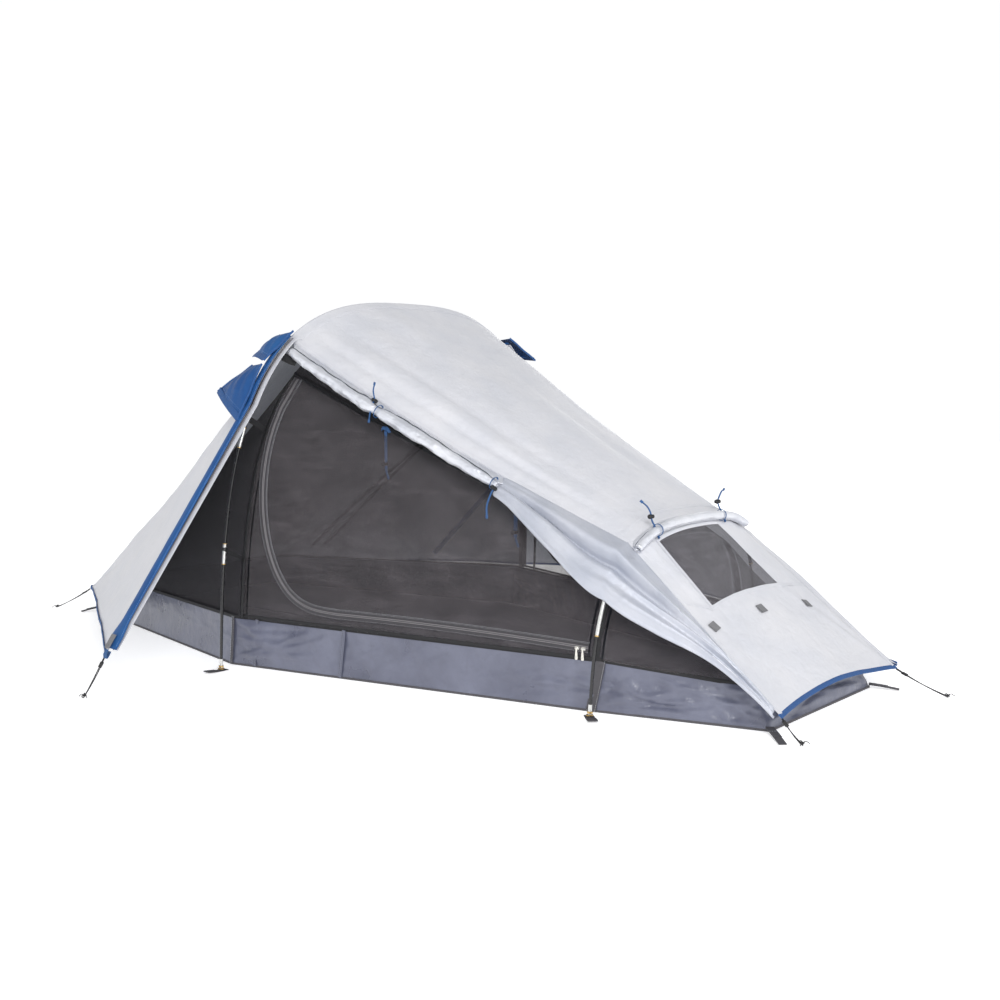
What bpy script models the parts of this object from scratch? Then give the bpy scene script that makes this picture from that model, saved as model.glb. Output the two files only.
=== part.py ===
"""Two-hoop, tapered hiking tent, pitched: tall front hoop, low rear hoop.

Metres, +Z up, +X from the head end (nose) to the foot end (tail); -Y is the "near"
side, whose fly door is rolled up, and +Y the "far" side, whose fly door is closed.
Stations are measured from the feet of the front hoop; the finished tent is then moved
along X by CENTRING_X so that the origin lies under the middle of its box.
"""
from collections import namedtuple
from math import atan2, ceil, copysign, cos, exp, pi, radians, sin

import bmesh
import bpy
from mathutils import Matrix, Vector

# ---- driving dimensions -------------------------------------------------------------
CENTRING_X = -0.2075             # moves the middle of the box onto the origin
GAP = 0.0003                     # clearance between touching pieces
SIDES = {"near": -1, "far": 1}   # sign of y on each side of the tent

# Pole hoops: superellipse arches that lean slightly towards the tail. The tent is
# pitched a little askew, so its rear half lies off the front hoop's centre line.
Hoop = namedtuple("Hoop", "foot_x lean middle_y half_width height")
WIDTH_POWER = 0.696
HEIGHT_POWER = 0.649
REAR_MIDDLE = -0.055
FRONT_HOOP = Hoop(foot_x=0.0, lean=0.047, middle_y=0.0, half_width=0.711, height=1.043)
REAR_HOOP = Hoop(foot_x=1.093, lean=0.060, middle_y=REAR_MIDDLE, half_width=0.399, height=0.458)
FRONT_SECTIONS = 9
REAR_SECTIONS = 5

POLE_RADIUS = 0.00425
POLE_BORE = 0.0026
FERRULE_RADIUS = 0.0056
FERRULE_BORE = 0.0049
FERRULE_LENGTH = 0.060
POLE_FOOT_HEIGHT = 0.006         # the pole's lower end stands this far off the ground
POLE_FACETS = 8
SHOCK_CORD_RADIUS = 0.0012
PIN_RADIUS = 0.0019
PIN_LENGTH = 0.035

# Flysheet
FLY_THICKNESS = 0.0015
FLY_OUTSET = 0.012               # fly outer face beyond the pole's centre line
SHOULDER_ANGLE = radians(56)     # where roof and door panels meet on both hoops
LEAVE_ANGLE = radians(36)        # where the door's front edge leaves the front hoop
NOSE_X, NOSE_HALF, NOSE_Z = -1.13, 0.400, 0.080
PEG_X, PEG_Y, PEG_Z = -0.03, 1.060, 0.100
TAIL_X, TAIL_MIDDLE, TAIL_HALF, TAIL_Z = 1.545, -0.020, 0.326, 0.060
ROOF_SAG_NEAR, ROOF_SAG_MIDDLE, ROOF_SAG_FAR = 0.026, 0.010, 0.040
HEM_RISE = 0.035                 # how far the closed door's hem curves up
NOSE_HEM_RISE = 0.020            # the same for the nose panel's side hems
REAR_HOOP_PUSH = 0.055           # how far the rear hoop pushes the closed door out

# Tail window, as fractions across and down the tail panel
WINDOW_ACROSS = (0.19, 0.67)
WINDOW_DOWN = (0.08, 0.45)
WINDOW_ROLL_RADIUS = 0.013
DOOR_ROLL_RADIUS = 0.021
SKIRT_ALONG = (0.49, 0.985)      # stretch of the door's upper edge with loose folds
SKIRT_THICKNESS = 0.006

# Inner tent
MESH_THICKNESS = 0.0012
INNER_FRONT = Hoop(foot_x=-0.004, lean=0.047, middle_y=0.0, half_width=0.640, height=0.970)
INNER_REAR = Hoop(foot_x=1.085, lean=0.060, middle_y=REAR_MIDDLE, half_width=0.352, height=0.412)
TOP_SEAM_ANGLE = radians(52)     # seam between the side walls and the mesh roof
FLOOR_THICKNESS = 0.0015
# Corners of the floor and of the wall top, head to tail: x, middle y, half width, z
FLOOR_PLAN = ((-1.10, 0.0, 0.400, 0.0), (-0.04, 0.0, 0.640, 0.0),
              (1.065, REAR_MIDDLE, 0.352, 0.0), (1.490, -0.012, 0.278, 0.0))
WALL_PLAN = ((-1.03, 0.0, 0.375, 0.120), (-0.03, 0.0, 0.637, 0.140),
             (1.090, REAR_MIDDLE, 0.346, 0.130), (1.440, -0.018, 0.256, 0.095))

TUB_SIDE_STEPS = [7, 7, 3]       # points along the tub's three side stretches

# Mesh door, as fractions along the side wall and down from its top seam
DOOR_ALONG = (0.020, 0.965)
DOOR_CORNER_ALONG = 0.30         # the rounded front corner ends here
DOOR_DOWN_FRONT = 0.962          # its straight lower edge runs between these depths
DOOR_DOWN_REAR = 0.925
DOOR_CORNER_POWER = 3.4
ZIP_GAP = 0.010
SLIDER_SIZE = (0.012, 0.0045, 0.0075)
TAB_SIZE = (0.0065, 0.0016, 0.030)
SLIDER_STATIONS = (0.938, 0.953)

WEBBING_WIDTH = 0.025
WEBBING_THICKNESS = 0.002
TAB_INNER, TAB_OUTER = 0.020, 0.050   # reach of a foot tab on either side of its pole
CORD_RADIUS = 0.0015

# ---- materials: colour, roughness, metallic, alpha -----------------------------------
MATERIALS = {
    "silver_fly": ((0.72, 0.72, 0.76), 0.45, 0.0, 1.0),
    "blue_trim": ((0.03, 0.12, 0.36), 0.55, 0.0, 1.0),
    "dark_mesh": ((0.07, 0.06, 0.07), 0.80, 0.0, 0.6),
    "grey_floor": ((0.13, 0.14, 0.18), 0.55, 0.0, 1.0),
    "black_webbing": ((0.03, 0.03, 0.03), 0.80, 0.0, 1.0),
    "black_fibreglass": ((0.01, 0.01, 0.01), 0.25, 0.0, 1.0),
    "black_plastic": ((0.02, 0.02, 0.02), 0.40, 0.0, 1.0),
    "bright_metal": ((0.70, 0.68, 0.62), 0.25, 1.0, 1.0),
    "elastic_cord": ((0.55, 0.55, 0.55), 0.70, 0.0, 1.0),
    "guy_cord": ((0.05, 0.05, 0.06), 0.75, 0.0, 1.0),
}


def make_material(name):
    colour, roughness, metallic, alpha = MATERIALS[name]
    material = bpy.data.materials.new(name)
    material.use_nodes = True
    shader = material.node_tree.nodes["Principled BSDF"]
    shader.inputs["Base Color"].default_value = (*colour, 1.0)
    shader.inputs["Roughness"].default_value = roughness
    shader.inputs["Metallic"].default_value = metallic
    shader.inputs["Alpha"].default_value = alpha
    material.diffuse_color = (*colour, alpha)
    return material


def get_material(name):
    return bpy.data.materials.get(name) or make_material(name)


def clear_scene():
    for thing in list(bpy.data.objects):
        bpy.data.objects.remove(thing, do_unlink=True)


def add_object(name, mesh_builder, material, pivot=Vector((0, 0, 0)), parent=None):
    """Turns a bmesh given in tent stations into an object whose origin is the pivot."""
    bmesh.ops.recalc_face_normals(mesh_builder, faces=mesh_builder.faces)
    mesh = bpy.data.meshes.new(name)
    mesh_builder.to_mesh(mesh)
    mesh_builder.free()
    mesh.transform(Matrix.Translation(-pivot))
    mesh.shade_smooth()
    mesh.set_sharp_from_angle(angle=radians(35))
    mesh.materials.append(get_material(material))
    thing = bpy.data.objects.new(name, mesh)
    thing.location = pivot + Vector((CENTRING_X, 0, 0))
    bpy.context.collection.objects.link(thing)
    if parent:
        bpy.context.view_layer.update()
        thing.parent = parent
        thing.matrix_parent_inverse = parent.matrix_world.inverted()
    return thing


# ---- small geometry tools --------------------------------------------------------------
def mix(a, b, t):
    return a + (b - a) * t


def span(start, end, steps):
    return [start + (end - start) * i / steps for i in range(steps + 1)]


def bow(t):
    """A smooth rise from 0 to 1 and back over t = 0..1."""
    return 4 * t * (1 - t)


def hoop_point(hoop, angle, outset=0.0):
    """Point on a hoop: angle 0 at the near foot, pi at the far foot."""
    across = copysign(abs(cos(angle)) ** WIDTH_POWER, cos(angle))
    up = max(sin(angle), 0.0) ** HEIGHT_POWER
    z = (hoop.height + outset) * up
    y = hoop.middle_y - (hoop.half_width + outset) * across
    return Vector((hoop.foot_x + hoop.lean * z, y, z))


def angle_at_height(hoop, z):
    rise = (z / hoop.height) ** (1 / HEIGHT_POWER)
    return atan2(rise, (1 - rise * rise) ** 0.5)


class Path:
    """A polyline that can be read at any length along it."""

    def __init__(self, points):
        self.points = points
        self.lengths = [0.0]
        for a, b in zip(points, points[1:]):
            self.lengths.append(self.lengths[-1] + (b - a).length)
        self.length = self.lengths[-1]

    def at(self, distance):
        distance = min(max(distance, 0.0), self.length)
        for i in range(1, len(self.points)):
            if distance <= self.lengths[i]:
                step = self.lengths[i] - self.lengths[i - 1]
                return mix(self.points[i - 1], self.points[i],
                           (distance - self.lengths[i - 1]) / step)
        return self.points[-1].copy()


def hoop_path(hoop, fineness=600):
    return Path([hoop_point(hoop, pi * i / fineness) for i in range(fineness + 1)])


def split_cell(bm, a, b, c, d):
    """A four-sided cell as two triangles that meet on a-c, so that both faces of a thin
    twisted wall bend along the same line.
    """
    bm.faces.new([a, b, c])
    bm.faces.new([a, c, d])


def sheet(rows, thickness, hole=None):
    """Closed thin solid from a grid of points on its outer face.

    The inner face is offset towards the tent's long axis; hole = (row0, row1, col0,
    col1) leaves out that block of cells and walls its rim.
    """
    n, m = len(rows), len(rows[0])
    normals = [[None] * m for _ in range(n)]
    outwardness = 0.0
    for i in range(n):
        for j in range(m):
            along = rows[min(i + 1, n - 1)][j] - rows[max(i - 1, 0)][j]
            across = rows[i][min(j + 1, m - 1)] - rows[i][max(j - 1, 0)]
            normals[i][j] = along.cross(across).normalized()
            axis_point = Vector((rows[i][j].x, 0, 0.1))
            outwardness += normals[i][j].dot(rows[i][j] - axis_point)
    sign = 1 if outwardness > 0 else -1
    bm = bmesh.new()
    outer = [[bm.verts.new(p) for p in row] for row in rows]
    inner = [[bm.verts.new(rows[i][j] - normals[i][j] * sign * thickness)
              for j in range(m)] for i in range(n)]

    def solid_cell(i, j):
        if not (0 <= i < n - 1 and 0 <= j < m - 1):
            return False
        return not (hole and hole[0] <= i < hole[1] and hole[2] <= j < hole[3])

    for i in range(n - 1):
        for j in range(m - 1):
            if not solid_cell(i, j):
                continue
            ring = [(i, j), (i + 1, j), (i + 1, j + 1), (i, j + 1)]
            for face in (outer, inner):
                split_cell(bm, *[face[a][b] for a, b in ring])
            beyond = [(i, j - 1), (i + 1, j), (i, j + 1), (i - 1, j)]
            for k in range(4):
                if solid_cell(*beyond[k]):
                    continue
                (a, b), (c, d) = ring[k], ring[(k + 1) % 4]
                bm.faces.new([outer[c][d], outer[a][b], inner[a][b], inner[c][d]])
    for vertex in [v for v in bm.verts if not v.link_faces]:
        bm.verts.remove(vertex)
    return bm


def bridge(bm, rings):
    """Joins each ring of vertices to the next with quads."""
    for ring, following in zip(rings, rings[1:]):
        for k in range(len(ring)):
            after = (k + 1) % len(ring)
            bm.faces.new([ring[k], ring[after], following[after], following[k]])


def tube(path, profile, facets, side_axis):
    """Sweeps a closed (distance, radius) profile round a path: a pipe with open bore."""
    bm = bmesh.new()
    rings = []
    for distance, radius in profile:
        centre = path.at(distance)
        ahead = path.at(distance + 0.004) - path.at(distance - 0.004)
        across = side_axis.cross(ahead).normalized()
        rings.append([bm.verts.new(centre + (side_axis * cos(turn) + across * sin(turn)) * radius)
                      for turn in (2 * pi * (k + 0.5) / facets for k in range(facets))])
    bridge(bm, rings + rings[:1])
    return bm


def bar(path, stations, radius, side_axis, facets=6):
    """Solid round bar of one radius through the given lengths of a path."""
    bm = bmesh.new()
    rings = []
    for distance in stations:
        centre = path.at(distance)
        ahead = path.at(distance + 0.004) - path.at(distance - 0.004)
        across = side_axis.cross(ahead).normalized()
        rings.append([bm.verts.new(centre + (side_axis * cos(turn) + across * sin(turn)) * radius)
                      for turn in (2 * pi * k / facets for k in range(facets))])
    bridge(bm, rings)
    bm.faces.new(rings[0])
    bm.faces.new(rings[-1])
    return bm


def rope(points, radii, facets=8):
    """Solid round bar through the points with a radius at each, closed at both ends."""
    bm = bmesh.new()
    rings = []
    for i, centre in enumerate(points):
        ahead = (points[min(i + 1, len(points) - 1)] - points[max(i - 1, 0)]).normalized()
        side_axis = ahead.cross(Vector((0, 0, 1))).normalized()
        up_axis = side_axis.cross(ahead)
        rings.append([bm.verts.new(centre + (side_axis * cos(turn) + up_axis * sin(turn)) * radii[i])
                      for turn in (2 * pi * k / facets for k in range(facets))])
    bridge(bm, rings)
    bm.faces.new(rings[0])
    bm.faces.new(rings[-1])
    return bm


def block(centre, axes, size):
    """Box of the given size along three unit axes."""
    bm = bmesh.new()
    bmesh.ops.create_cube(bm, size=1.0)
    basis = Matrix([[axes[col][row] * size[col] for col in range(3)] for row in range(3)])
    bmesh.ops.transform(bm, matrix=Matrix.Translation(centre) @ basis.to_4x4(), verts=bm.verts)
    return bm


# ---- poles -----------------------------------------------------------------------------
def section_profile(start, end, has_ferrule):
    """Closed (distance, radius) loop of one hollow section with its glued ferrule."""
    half = FERRULE_LENGTH / 2
    steps = ceil((end - start - 2 * half) / 0.055)
    inside = span(start + half, end - half, steps)
    outer = [(start, POLE_RADIUS)] + [(d, POLE_RADIUS) for d in inside]
    bore = [(start, POLE_BORE)] + [(d, POLE_BORE) for d in inside]
    if has_ferrule:
        outer += [(end - half + GAP, FERRULE_RADIUS), (end, FERRULE_RADIUS),
                  (end + half, FERRULE_RADIUS)]
        bore += [(end - GAP, POLE_BORE), (end, FERRULE_BORE), (end + half, FERRULE_BORE)]
    else:
        outer += [(end, POLE_RADIUS)]
        bore += [(end, POLE_BORE)]
    return outer + bore[::-1]


def make_hoop(name, hoop, sections):
    path = hoop_path(hoop)
    plane_normal = Vector((1, 0, -hoop.lean)).normalized()
    first, last = POLE_FOOT_HEIGHT, path.length - POLE_FOOT_HEIGHT
    joints = span(first, last, sections)
    for i in range(sections):
        start = joints[i] + (GAP if i else 0)
        profile = section_profile(start, joints[i + 1], has_ferrule=i < sections - 1)
        add_object(f"{name}_pole_section_{i + 1}", tube(path, profile, POLE_FACETS, plane_normal),
                   "black_fibreglass")
    reach = PIN_LENGTH + 0.02
    steps = ceil((last - first) / 0.045)
    stations = span(first + reach, last - reach, steps)
    add_object(f"{name}_shock_cord",
               bar(path, stations, SHOCK_CORD_RADIUS, plane_normal, facets=5), "elastic_cord")


def make_foot_tab(name, hoop, sign, splay):
    """Webbing tab on the ground with the pin that enters the pole's lower end.

    splay is how far the tab turns towards the tail from pointing straight outwards.
    """
    path = Path([hoop_point(hoop, side_angle(angle, sign)) for angle in span(0, 0.3, 40)])
    outward = Vector((sin(splay), sign * cos(splay), 0))
    sideways = Vector((cos(splay), -sign * sin(splay), 0))
    foot = path.at(0)
    middle = foot + outward * (TAB_OUTER - TAB_INNER) / 2 + Vector((0, 0, WEBBING_THICKNESS / 2))
    size = (WEBBING_WIDTH, TAB_OUTER + TAB_INNER, WEBBING_THICKNESS)
    tab = add_object(name, block(middle, (sideways, outward, Vector((0, 0, 1))), size), "black_webbing")
    pin_stations = (WEBBING_THICKNESS / 2, PIN_LENGTH / 2, PIN_LENGTH)
    pin = add_object(f"{name}_pin_shape", bar(path, pin_stations, PIN_RADIUS, Vector((1, 0, 0))),
                     "bright_metal")
    pin.hide_render = True
    pin.display_type = "WIRE"
    union = tab.modifiers.new("pin", "BOOLEAN")
    union.operation = "UNION"
    union.object = pin


# ---- flysheet --------------------------------------------------------------------------
def peg_corner(sign):
    return Vector((PEG_X, sign * PEG_Y, PEG_Z))


def tail_corner(sign):
    return Vector((TAIL_X, TAIL_MIDDLE + sign * TAIL_HALF, TAIL_Z))


def side_angle(angle, sign):
    """The same place on the near or the far half of a hoop."""
    return angle if sign < 0 else pi - angle


def front_edge(w, sign, outset=FLY_OUTSET):
    """Front edge of a side door: w = 0 at the shoulder, 1 at the peg corner."""
    on_hoop = 0.30
    if w < on_hoop:
        angle = SHOULDER_ANGLE + (LEAVE_ANGLE - SHOULDER_ANGLE) * w / on_hoop
        return hoop_point(FRONT_HOOP, side_angle(angle, sign), outset)
    leave = hoop_point(FRONT_HOOP, side_angle(LEAVE_ANGLE, sign), outset)
    return mix(leave, peg_corner(sign), (w - on_hoop) / (1 - on_hoop))


def roof_point(u, v):
    """Roof between the hoops: u = 0 near shoulder to 1 far shoulder, v = 0 front to 1 rear."""
    angle = mix(SHOULDER_ANGLE, pi - SHOULDER_ANGLE, u)
    front = hoop_point(FRONT_HOOP, angle, FLY_OUTSET)
    rear = hoop_point(REAR_HOOP, angle, FLY_OUTSET)
    point = mix(front, rear, v)
    point.z -= mix(mix(ROOF_SAG_NEAR, ROOF_SAG_FAR, u), ROOF_SAG_MIDDLE, bow(u)) * bow(v)
    return point


def tail_point(u, v):
    """Tail panel: v = 0 on the rear hoop to 1 at the foot-end hem."""
    angle = mix(SHOULDER_ANGLE, pi - SHOULDER_ANGLE, u)
    top = hoop_point(REAR_HOOP, angle, FLY_OUTSET)
    hem = mix(tail_corner(-1), tail_corner(1), u) + Vector((-0.022, 0, 0.020)) * bow(u)
    point = mix(top, hem, v)
    return point


def make_fly_roof():
    rows = [[roof_point(u, v) for u in span(0, 1, 14)] for v in span(0.003, 0.997, 8)]
    add_object("fly_roof_panel", sheet(rows, FLY_THICKNESS), "silver_fly")


def make_fly_nose():
    """Head-end panel from one peg corner over the front hoop to the other, down to the nose."""
    steps_side, steps_top = 5, 18
    front_rail = []
    nose_rail = []
    rising = []
    for i in range(steps_side):
        t = i / steps_side
        front_rail.append(mix(peg_corner(-1), hoop_point(FRONT_HOOP, LEAVE_ANGLE, FLY_OUTSET), t))
        nose_rail.append(Vector((NOSE_X + 0.025 * (1 - t), -NOSE_HALF - 0.012 * (1 - t), NOSE_Z)))
        rising.append(1 - t)
    for i in range(steps_top + 1):
        t = i / steps_top
        angle = mix(LEAVE_ANGLE, pi - LEAVE_ANGLE, t)
        front_rail.append(hoop_point(FRONT_HOOP, angle, FLY_OUTSET))
        nose_rail.append(Vector((NOSE_X + 0.02 * bow(t), mix(-NOSE_HALF, NOSE_HALF, t),
                                 NOSE_Z + 0.012 * bow(t))))
        rising.append(0.0)
    for i in range(steps_side - 1, -1, -1):
        front_rail.append(Vector((front_rail[i].x, -front_rail[i].y, front_rail[i].z)))
        nose_rail.append(Vector((nose_rail[i].x, -nose_rail[i].y, nose_rail[i].z)))
        rising.append(rising[i])
    rows = []
    for v in span(0.0025, 1, 8):
        row = []
        for a, b, hem in zip(front_rail, nose_rail, rising):
            point = mix(a, b, v)
            point.z += NOSE_HEM_RISE * bow(v) * hem ** 3
            row.append(point)
        rows.append(row)
    add_object("fly_nose_panel", sheet(rows, FLY_THICKNESS), "silver_fly")


def make_fly_tail():
    across_steps, down_steps = 15, 12
    cells = (round(WINDOW_DOWN[0] * down_steps), round(WINDOW_DOWN[1] * down_steps),
             round(WINDOW_ACROSS[0] * across_steps), round(WINDOW_ACROSS[1] * across_steps))
    downs = span(0.004, 1, down_steps)
    acrosses = span(0, 1, across_steps)
    rows = [[tail_point(u, v) for u in acrosses] for v in downs]
    add_object("fly_tail_panel", sheet(rows, FLY_THICKNESS, hole=cells), "silver_fly")
    inset = 0.004
    top, bottom = downs[cells[0]] + inset, downs[cells[1]] - inset
    near, far = acrosses[cells[2]] + inset, acrosses[cells[3]] - inset
    pane = [[tail_point(u, v) for u in span(near, far, 9)] for v in span(top, bottom, 6)]
    add_object("window_mesh", sheet(pane, MESH_THICKNESS), "dark_mesh")


def make_window_roll():
    """Rolled window cover, tied on the tail panel just behind the rear hoop."""
    off_panel = Vector((0.68, 0, 0.73)) * (WINDOW_ROLL_RADIUS + 0.002)
    steps = 14
    points = [tail_point(u, 0.05) + off_panel for u in span(-0.02, 0.93, steps)]
    radii = [WINDOW_ROLL_RADIUS * (0.85 + 0.15 * bow(i / steps)) for i in range(steps + 1)]
    add_object("window_cover_roll", rope(points, radii, 10), "silver_fly")


def door_upper_edge(v, sign, inset=0.0):
    """Where a fly door joins the roof and then the tail, front to tail corner."""
    on_roof = 0.70
    u = inset if sign < 0 else 1 - inset
    if v < on_roof:
        return roof_point(u, v / on_roof)
    return tail_point(u, (v - on_roof) / (1 - on_roof))


def make_far_door():
    """Closed fly door of the far side, from the roof edge down to its hem."""
    sign = SIDES["far"]
    rows = []
    for v in span(0.006, 0.985, 14):
        upper = door_upper_edge(v, sign) + Vector((0, 0.003, -0.002))
        hem = mix(peg_corner(sign), tail_corner(sign) + Vector((0, 0.02, 0)), v)
        hem.z += HEM_RISE * bow(v)
        row = []
        for w in span(0, 1, 8):
            straight = mix(upper, hem, w)
            chord = mix(front_edge(0, sign), peg_corner(sign), w)
            pushed_out = Vector((0, 0.8, 0.6)) * REAR_HOOP_PUSH * bow(v) * bow(w)
            row.append(straight + (front_edge(w, sign) - chord) * (1 - v) ** 2 + pushed_out)
        rows.append(row)
    add_object("fly_door_far", sheet(rows, FLY_THICKNESS), "silver_fly")


def make_door_roll():
    """Rolled part of the near fly door, tied under the roof edge."""
    points = []
    radii = []
    steps = 14
    for i in range(steps + 1):
        t = i / steps
        edge = roof_point(0, mix(0.030, 0.665, t))
        points.append(edge + Vector((0.004, -0.032, -0.031)))
        radii.append(DOOR_ROLL_RADIUS * (0.72 + 0.28 * bow(t)))
    add_object("fly_door_near_roll", rope(points, radii, 10), "silver_fly")


def make_door_skirt():
    """Loose end of the near door, hanging in folds from the second tie to the tail corner."""
    start, end = SKIRT_ALONG
    rows = []
    for v in span(start, end, 14):
        share = (v - start) / (end - start)
        upper = door_upper_edge(v, -1) + Vector((0, -0.014, -0.006))
        drop = mix(0.050, 0.028, share) + 0.080 * exp(-((share - 0.42) / 0.20) ** 2)
        lower = upper + Vector((0, -0.85 * drop, -drop))
        rows.append([mix(upper, lower, w) + Vector((0, -0.20, 0.12)) * drop * bow(w)
                     for w in span(0, 1, 4)])
    add_object("fly_door_near_skirt", sheet(rows, SKIRT_THICKNESS), "silver_fly")


def make_storm_flap(side, sign):
    """Blue flap over the door's zip, from the shoulder to the peg corner."""
    rows = []
    for w in span(0.0, 0.985, 18):
        centre = front_edge(w, sign, FLY_OUTSET + 0.006) + Vector((0.010, 0, 0))
        outward = Vector((0, sign * 0.75, 0.66)) * 0.004
        half = mix(0.012, 0.019, w)
        rows.append([centre + outward + Vector((x, 0, 0)) for x in (-half, half)])
    add_object(f"storm_flap_{side}", sheet(rows, 0.002), "blue_trim")


# A vent hood's four corners on the near side: top front, top back, brim front, brim back.
VENT_HOODS = {
    "lower": ((0.034, -0.583, 0.868), (-0.014, -0.566, 0.858),
              (0.024, -0.670, 0.706), (-0.115, -0.612, 0.784)),
    "upper": ((0.034, -0.480, 0.955), (-0.010, -0.466, 0.946),
              (0.030, -0.590, 0.876), (-0.066, -0.518, 0.886)),
}


def make_vent_hood(side, sign, level, corners):
    top_front, top_back, brim_front, brim_back = [Vector((x, -sign * y, z)) for x, y, z in corners]
    outward = (brim_front - top_front).cross(top_back - top_front).normalized()
    if outward.y * sign < 0:
        outward = -outward
    rows = []
    for v in span(0, 1, 5):
        left, right = mix(top_front, brim_front, v), mix(top_back, brim_back, v)
        rows.append([mix(left, right, u) + outward * 0.018 * bow(u) * v for u in span(0, 1, 6)])
    add_object(f"vent_hood_{side}_{level}", sheet(rows, 0.002), "blue_trim", pivot=top_front)


def make_toggle(name, centre, direction):
    bm = bmesh.new()
    bmesh.ops.create_cone(bm, cap_ends=True, segments=10, radius1=0.0055, radius2=0.0055, depth=0.018)
    turn = direction.to_track_quat("Z", "Y").to_matrix().to_4x4()
    bmesh.ops.transform(bm, matrix=Matrix.Translation(centre) @ turn, verts=bm.verts)
    add_object(name, bm, "black_plastic")


# ---- inner tent --------------------------------------------------------------------------
def side_point(along, down, sign, lift=0.0):
    """Side wall: along 0 front to 1 rear arch, down 0 top seam to 1 tub wall."""
    ends = []
    for hoop, wall_z in ((INNER_FRONT, WALL_PLAN[1][3]), (INNER_REAR, WALL_PLAN[2][3])):
        low = angle_at_height(hoop, wall_z + 0.002)
        ends.append(hoop_point(hoop, side_angle(mix(TOP_SEAM_ANGLE, low, down), sign), lift))
    return mix(ends[0], ends[1], along)


def door_bottom(along):
    """Lower outline of the mesh door: round at the front, straight behind."""
    start = DOOR_ALONG[0]
    if along >= DOOR_CORNER_ALONG:
        behind = (along - DOOR_CORNER_ALONG) / (DOOR_ALONG[1] - DOOR_CORNER_ALONG)
        return mix(DOOR_DOWN_FRONT, DOOR_DOWN_REAR, behind)
    reach = (DOOR_CORNER_ALONG - along) / (DOOR_CORNER_ALONG - start)
    return DOOR_DOWN_FRONT * max(1 - reach ** DOOR_CORNER_POWER, 0) ** (1 / DOOR_CORNER_POWER)


def door_columns():
    start, end = DOOR_ALONG
    curved = [start + (DOOR_CORNER_ALONG - start) * (1 - cos(t)) for t in span(0.11, pi / 2, 9)]
    return curved + span(DOOR_CORNER_ALONG, end, 8)[1:]


def make_mesh_door(side, sign):
    pivot = side_point(0.5, 0.0, sign)
    rows = []
    for along in door_columns():
        rows.append([side_point(along, mix(0.008, door_bottom(along), t), sign) for t in span(0, 1, 6)])
    return add_object(f"mesh_door_{side}", sheet(rows, MESH_THICKNESS), "dark_mesh", pivot=pivot)


def wall_height(along, sign):
    return (side_point(along, 0, sign) - side_point(along, 1, sign)).length


def make_side_wall(side, sign):
    """Fixed mesh round the door opening: a front strip, a sill and a rear strip."""
    length = (side_point(1, 0, sign) - side_point(0, 0, sign)).length
    gap_along = ZIP_GAP / length
    columns = [(0.003, 0.0), (DOOR_ALONG[0] - gap_along * 0.8, 0.0)]
    for along in door_columns():
        below = door_bottom(along) + ZIP_GAP / wall_height(along, sign)
        columns.append((along - gap_along * 0.3, min(below, 0.988)))
    corner = DOOR_DOWN_REAR + ZIP_GAP / wall_height(DOOR_ALONG[1], sign)
    columns.append((DOOR_ALONG[1] + gap_along * 0.7, corner))
    columns += [(DOOR_ALONG[1] + gap_along, 0.0), (0.997, 0.0)]
    rows = [[side_point(along, mix(top, 1.0, t), sign) for t in span(0, 1, 5)]
            for along, top in columns]
    add_object(f"inner_side_{side}", sheet(rows, MESH_THICKNESS), "dark_mesh")


def make_inner_roof():
    rows = []
    for v in span(0.003, 0.997, 6):
        row = []
        for angle in span(TOP_SEAM_ANGLE + 0.012, pi - TOP_SEAM_ANGLE - 0.012, 12):
            row.append(mix(hoop_point(INNER_FRONT, angle), hoop_point(INNER_REAR, angle), v))
        rows.append(row)
    add_object("inner_roof_mesh", sheet(rows, MESH_THICKNESS), "dark_mesh")


def make_inner_end(name, hoop, hoop_wall_z, end_wall, toward):
    """Mesh from a pole arch down to the low end wall of the tub."""
    end_x, end_middle, end_half, end_z = end_wall
    low = angle_at_height(hoop, hoop_wall_z + 0.002)
    steps = 18
    rows = []
    for v in span(0.003, 1, 5):
        row = []
        for i in range(steps + 1):
            t = i / steps
            arch = hoop_point(hoop, mix(low, pi - low, t)) + Vector((toward * 0.002, 0, 0))
            edge_y = end_middle - end_half * copysign(abs(cos(pi * t)) ** 0.35, cos(pi * t))
            edge = Vector((end_x, edge_y, end_z + 0.003 + 0.012 * sin(pi * t) ** 0.5))
            row.append(mix(arch, edge, v))
        rows.append(row)
    add_object(name, sheet(rows, MESH_THICKNESS), "dark_mesh")


def ring_round(plan, side_steps, head_steps, tail_steps):
    """Closed ring of points round the tent from a half plan given head to tail."""
    near = [Vector((x, middle - half, z)) for x, middle, half, z in plan]
    far = [Vector((x, middle + half, z)) for x, middle, half, z in plan]
    corners = near + far[::-1]
    steps = side_steps + [tail_steps] + side_steps[::-1] + [head_steps]
    ring = []
    for a, b, count in zip(corners, corners[1:] + corners[:1], steps):
        ring += [mix(a, b, k / count) for k in range(count)]
    return ring


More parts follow.
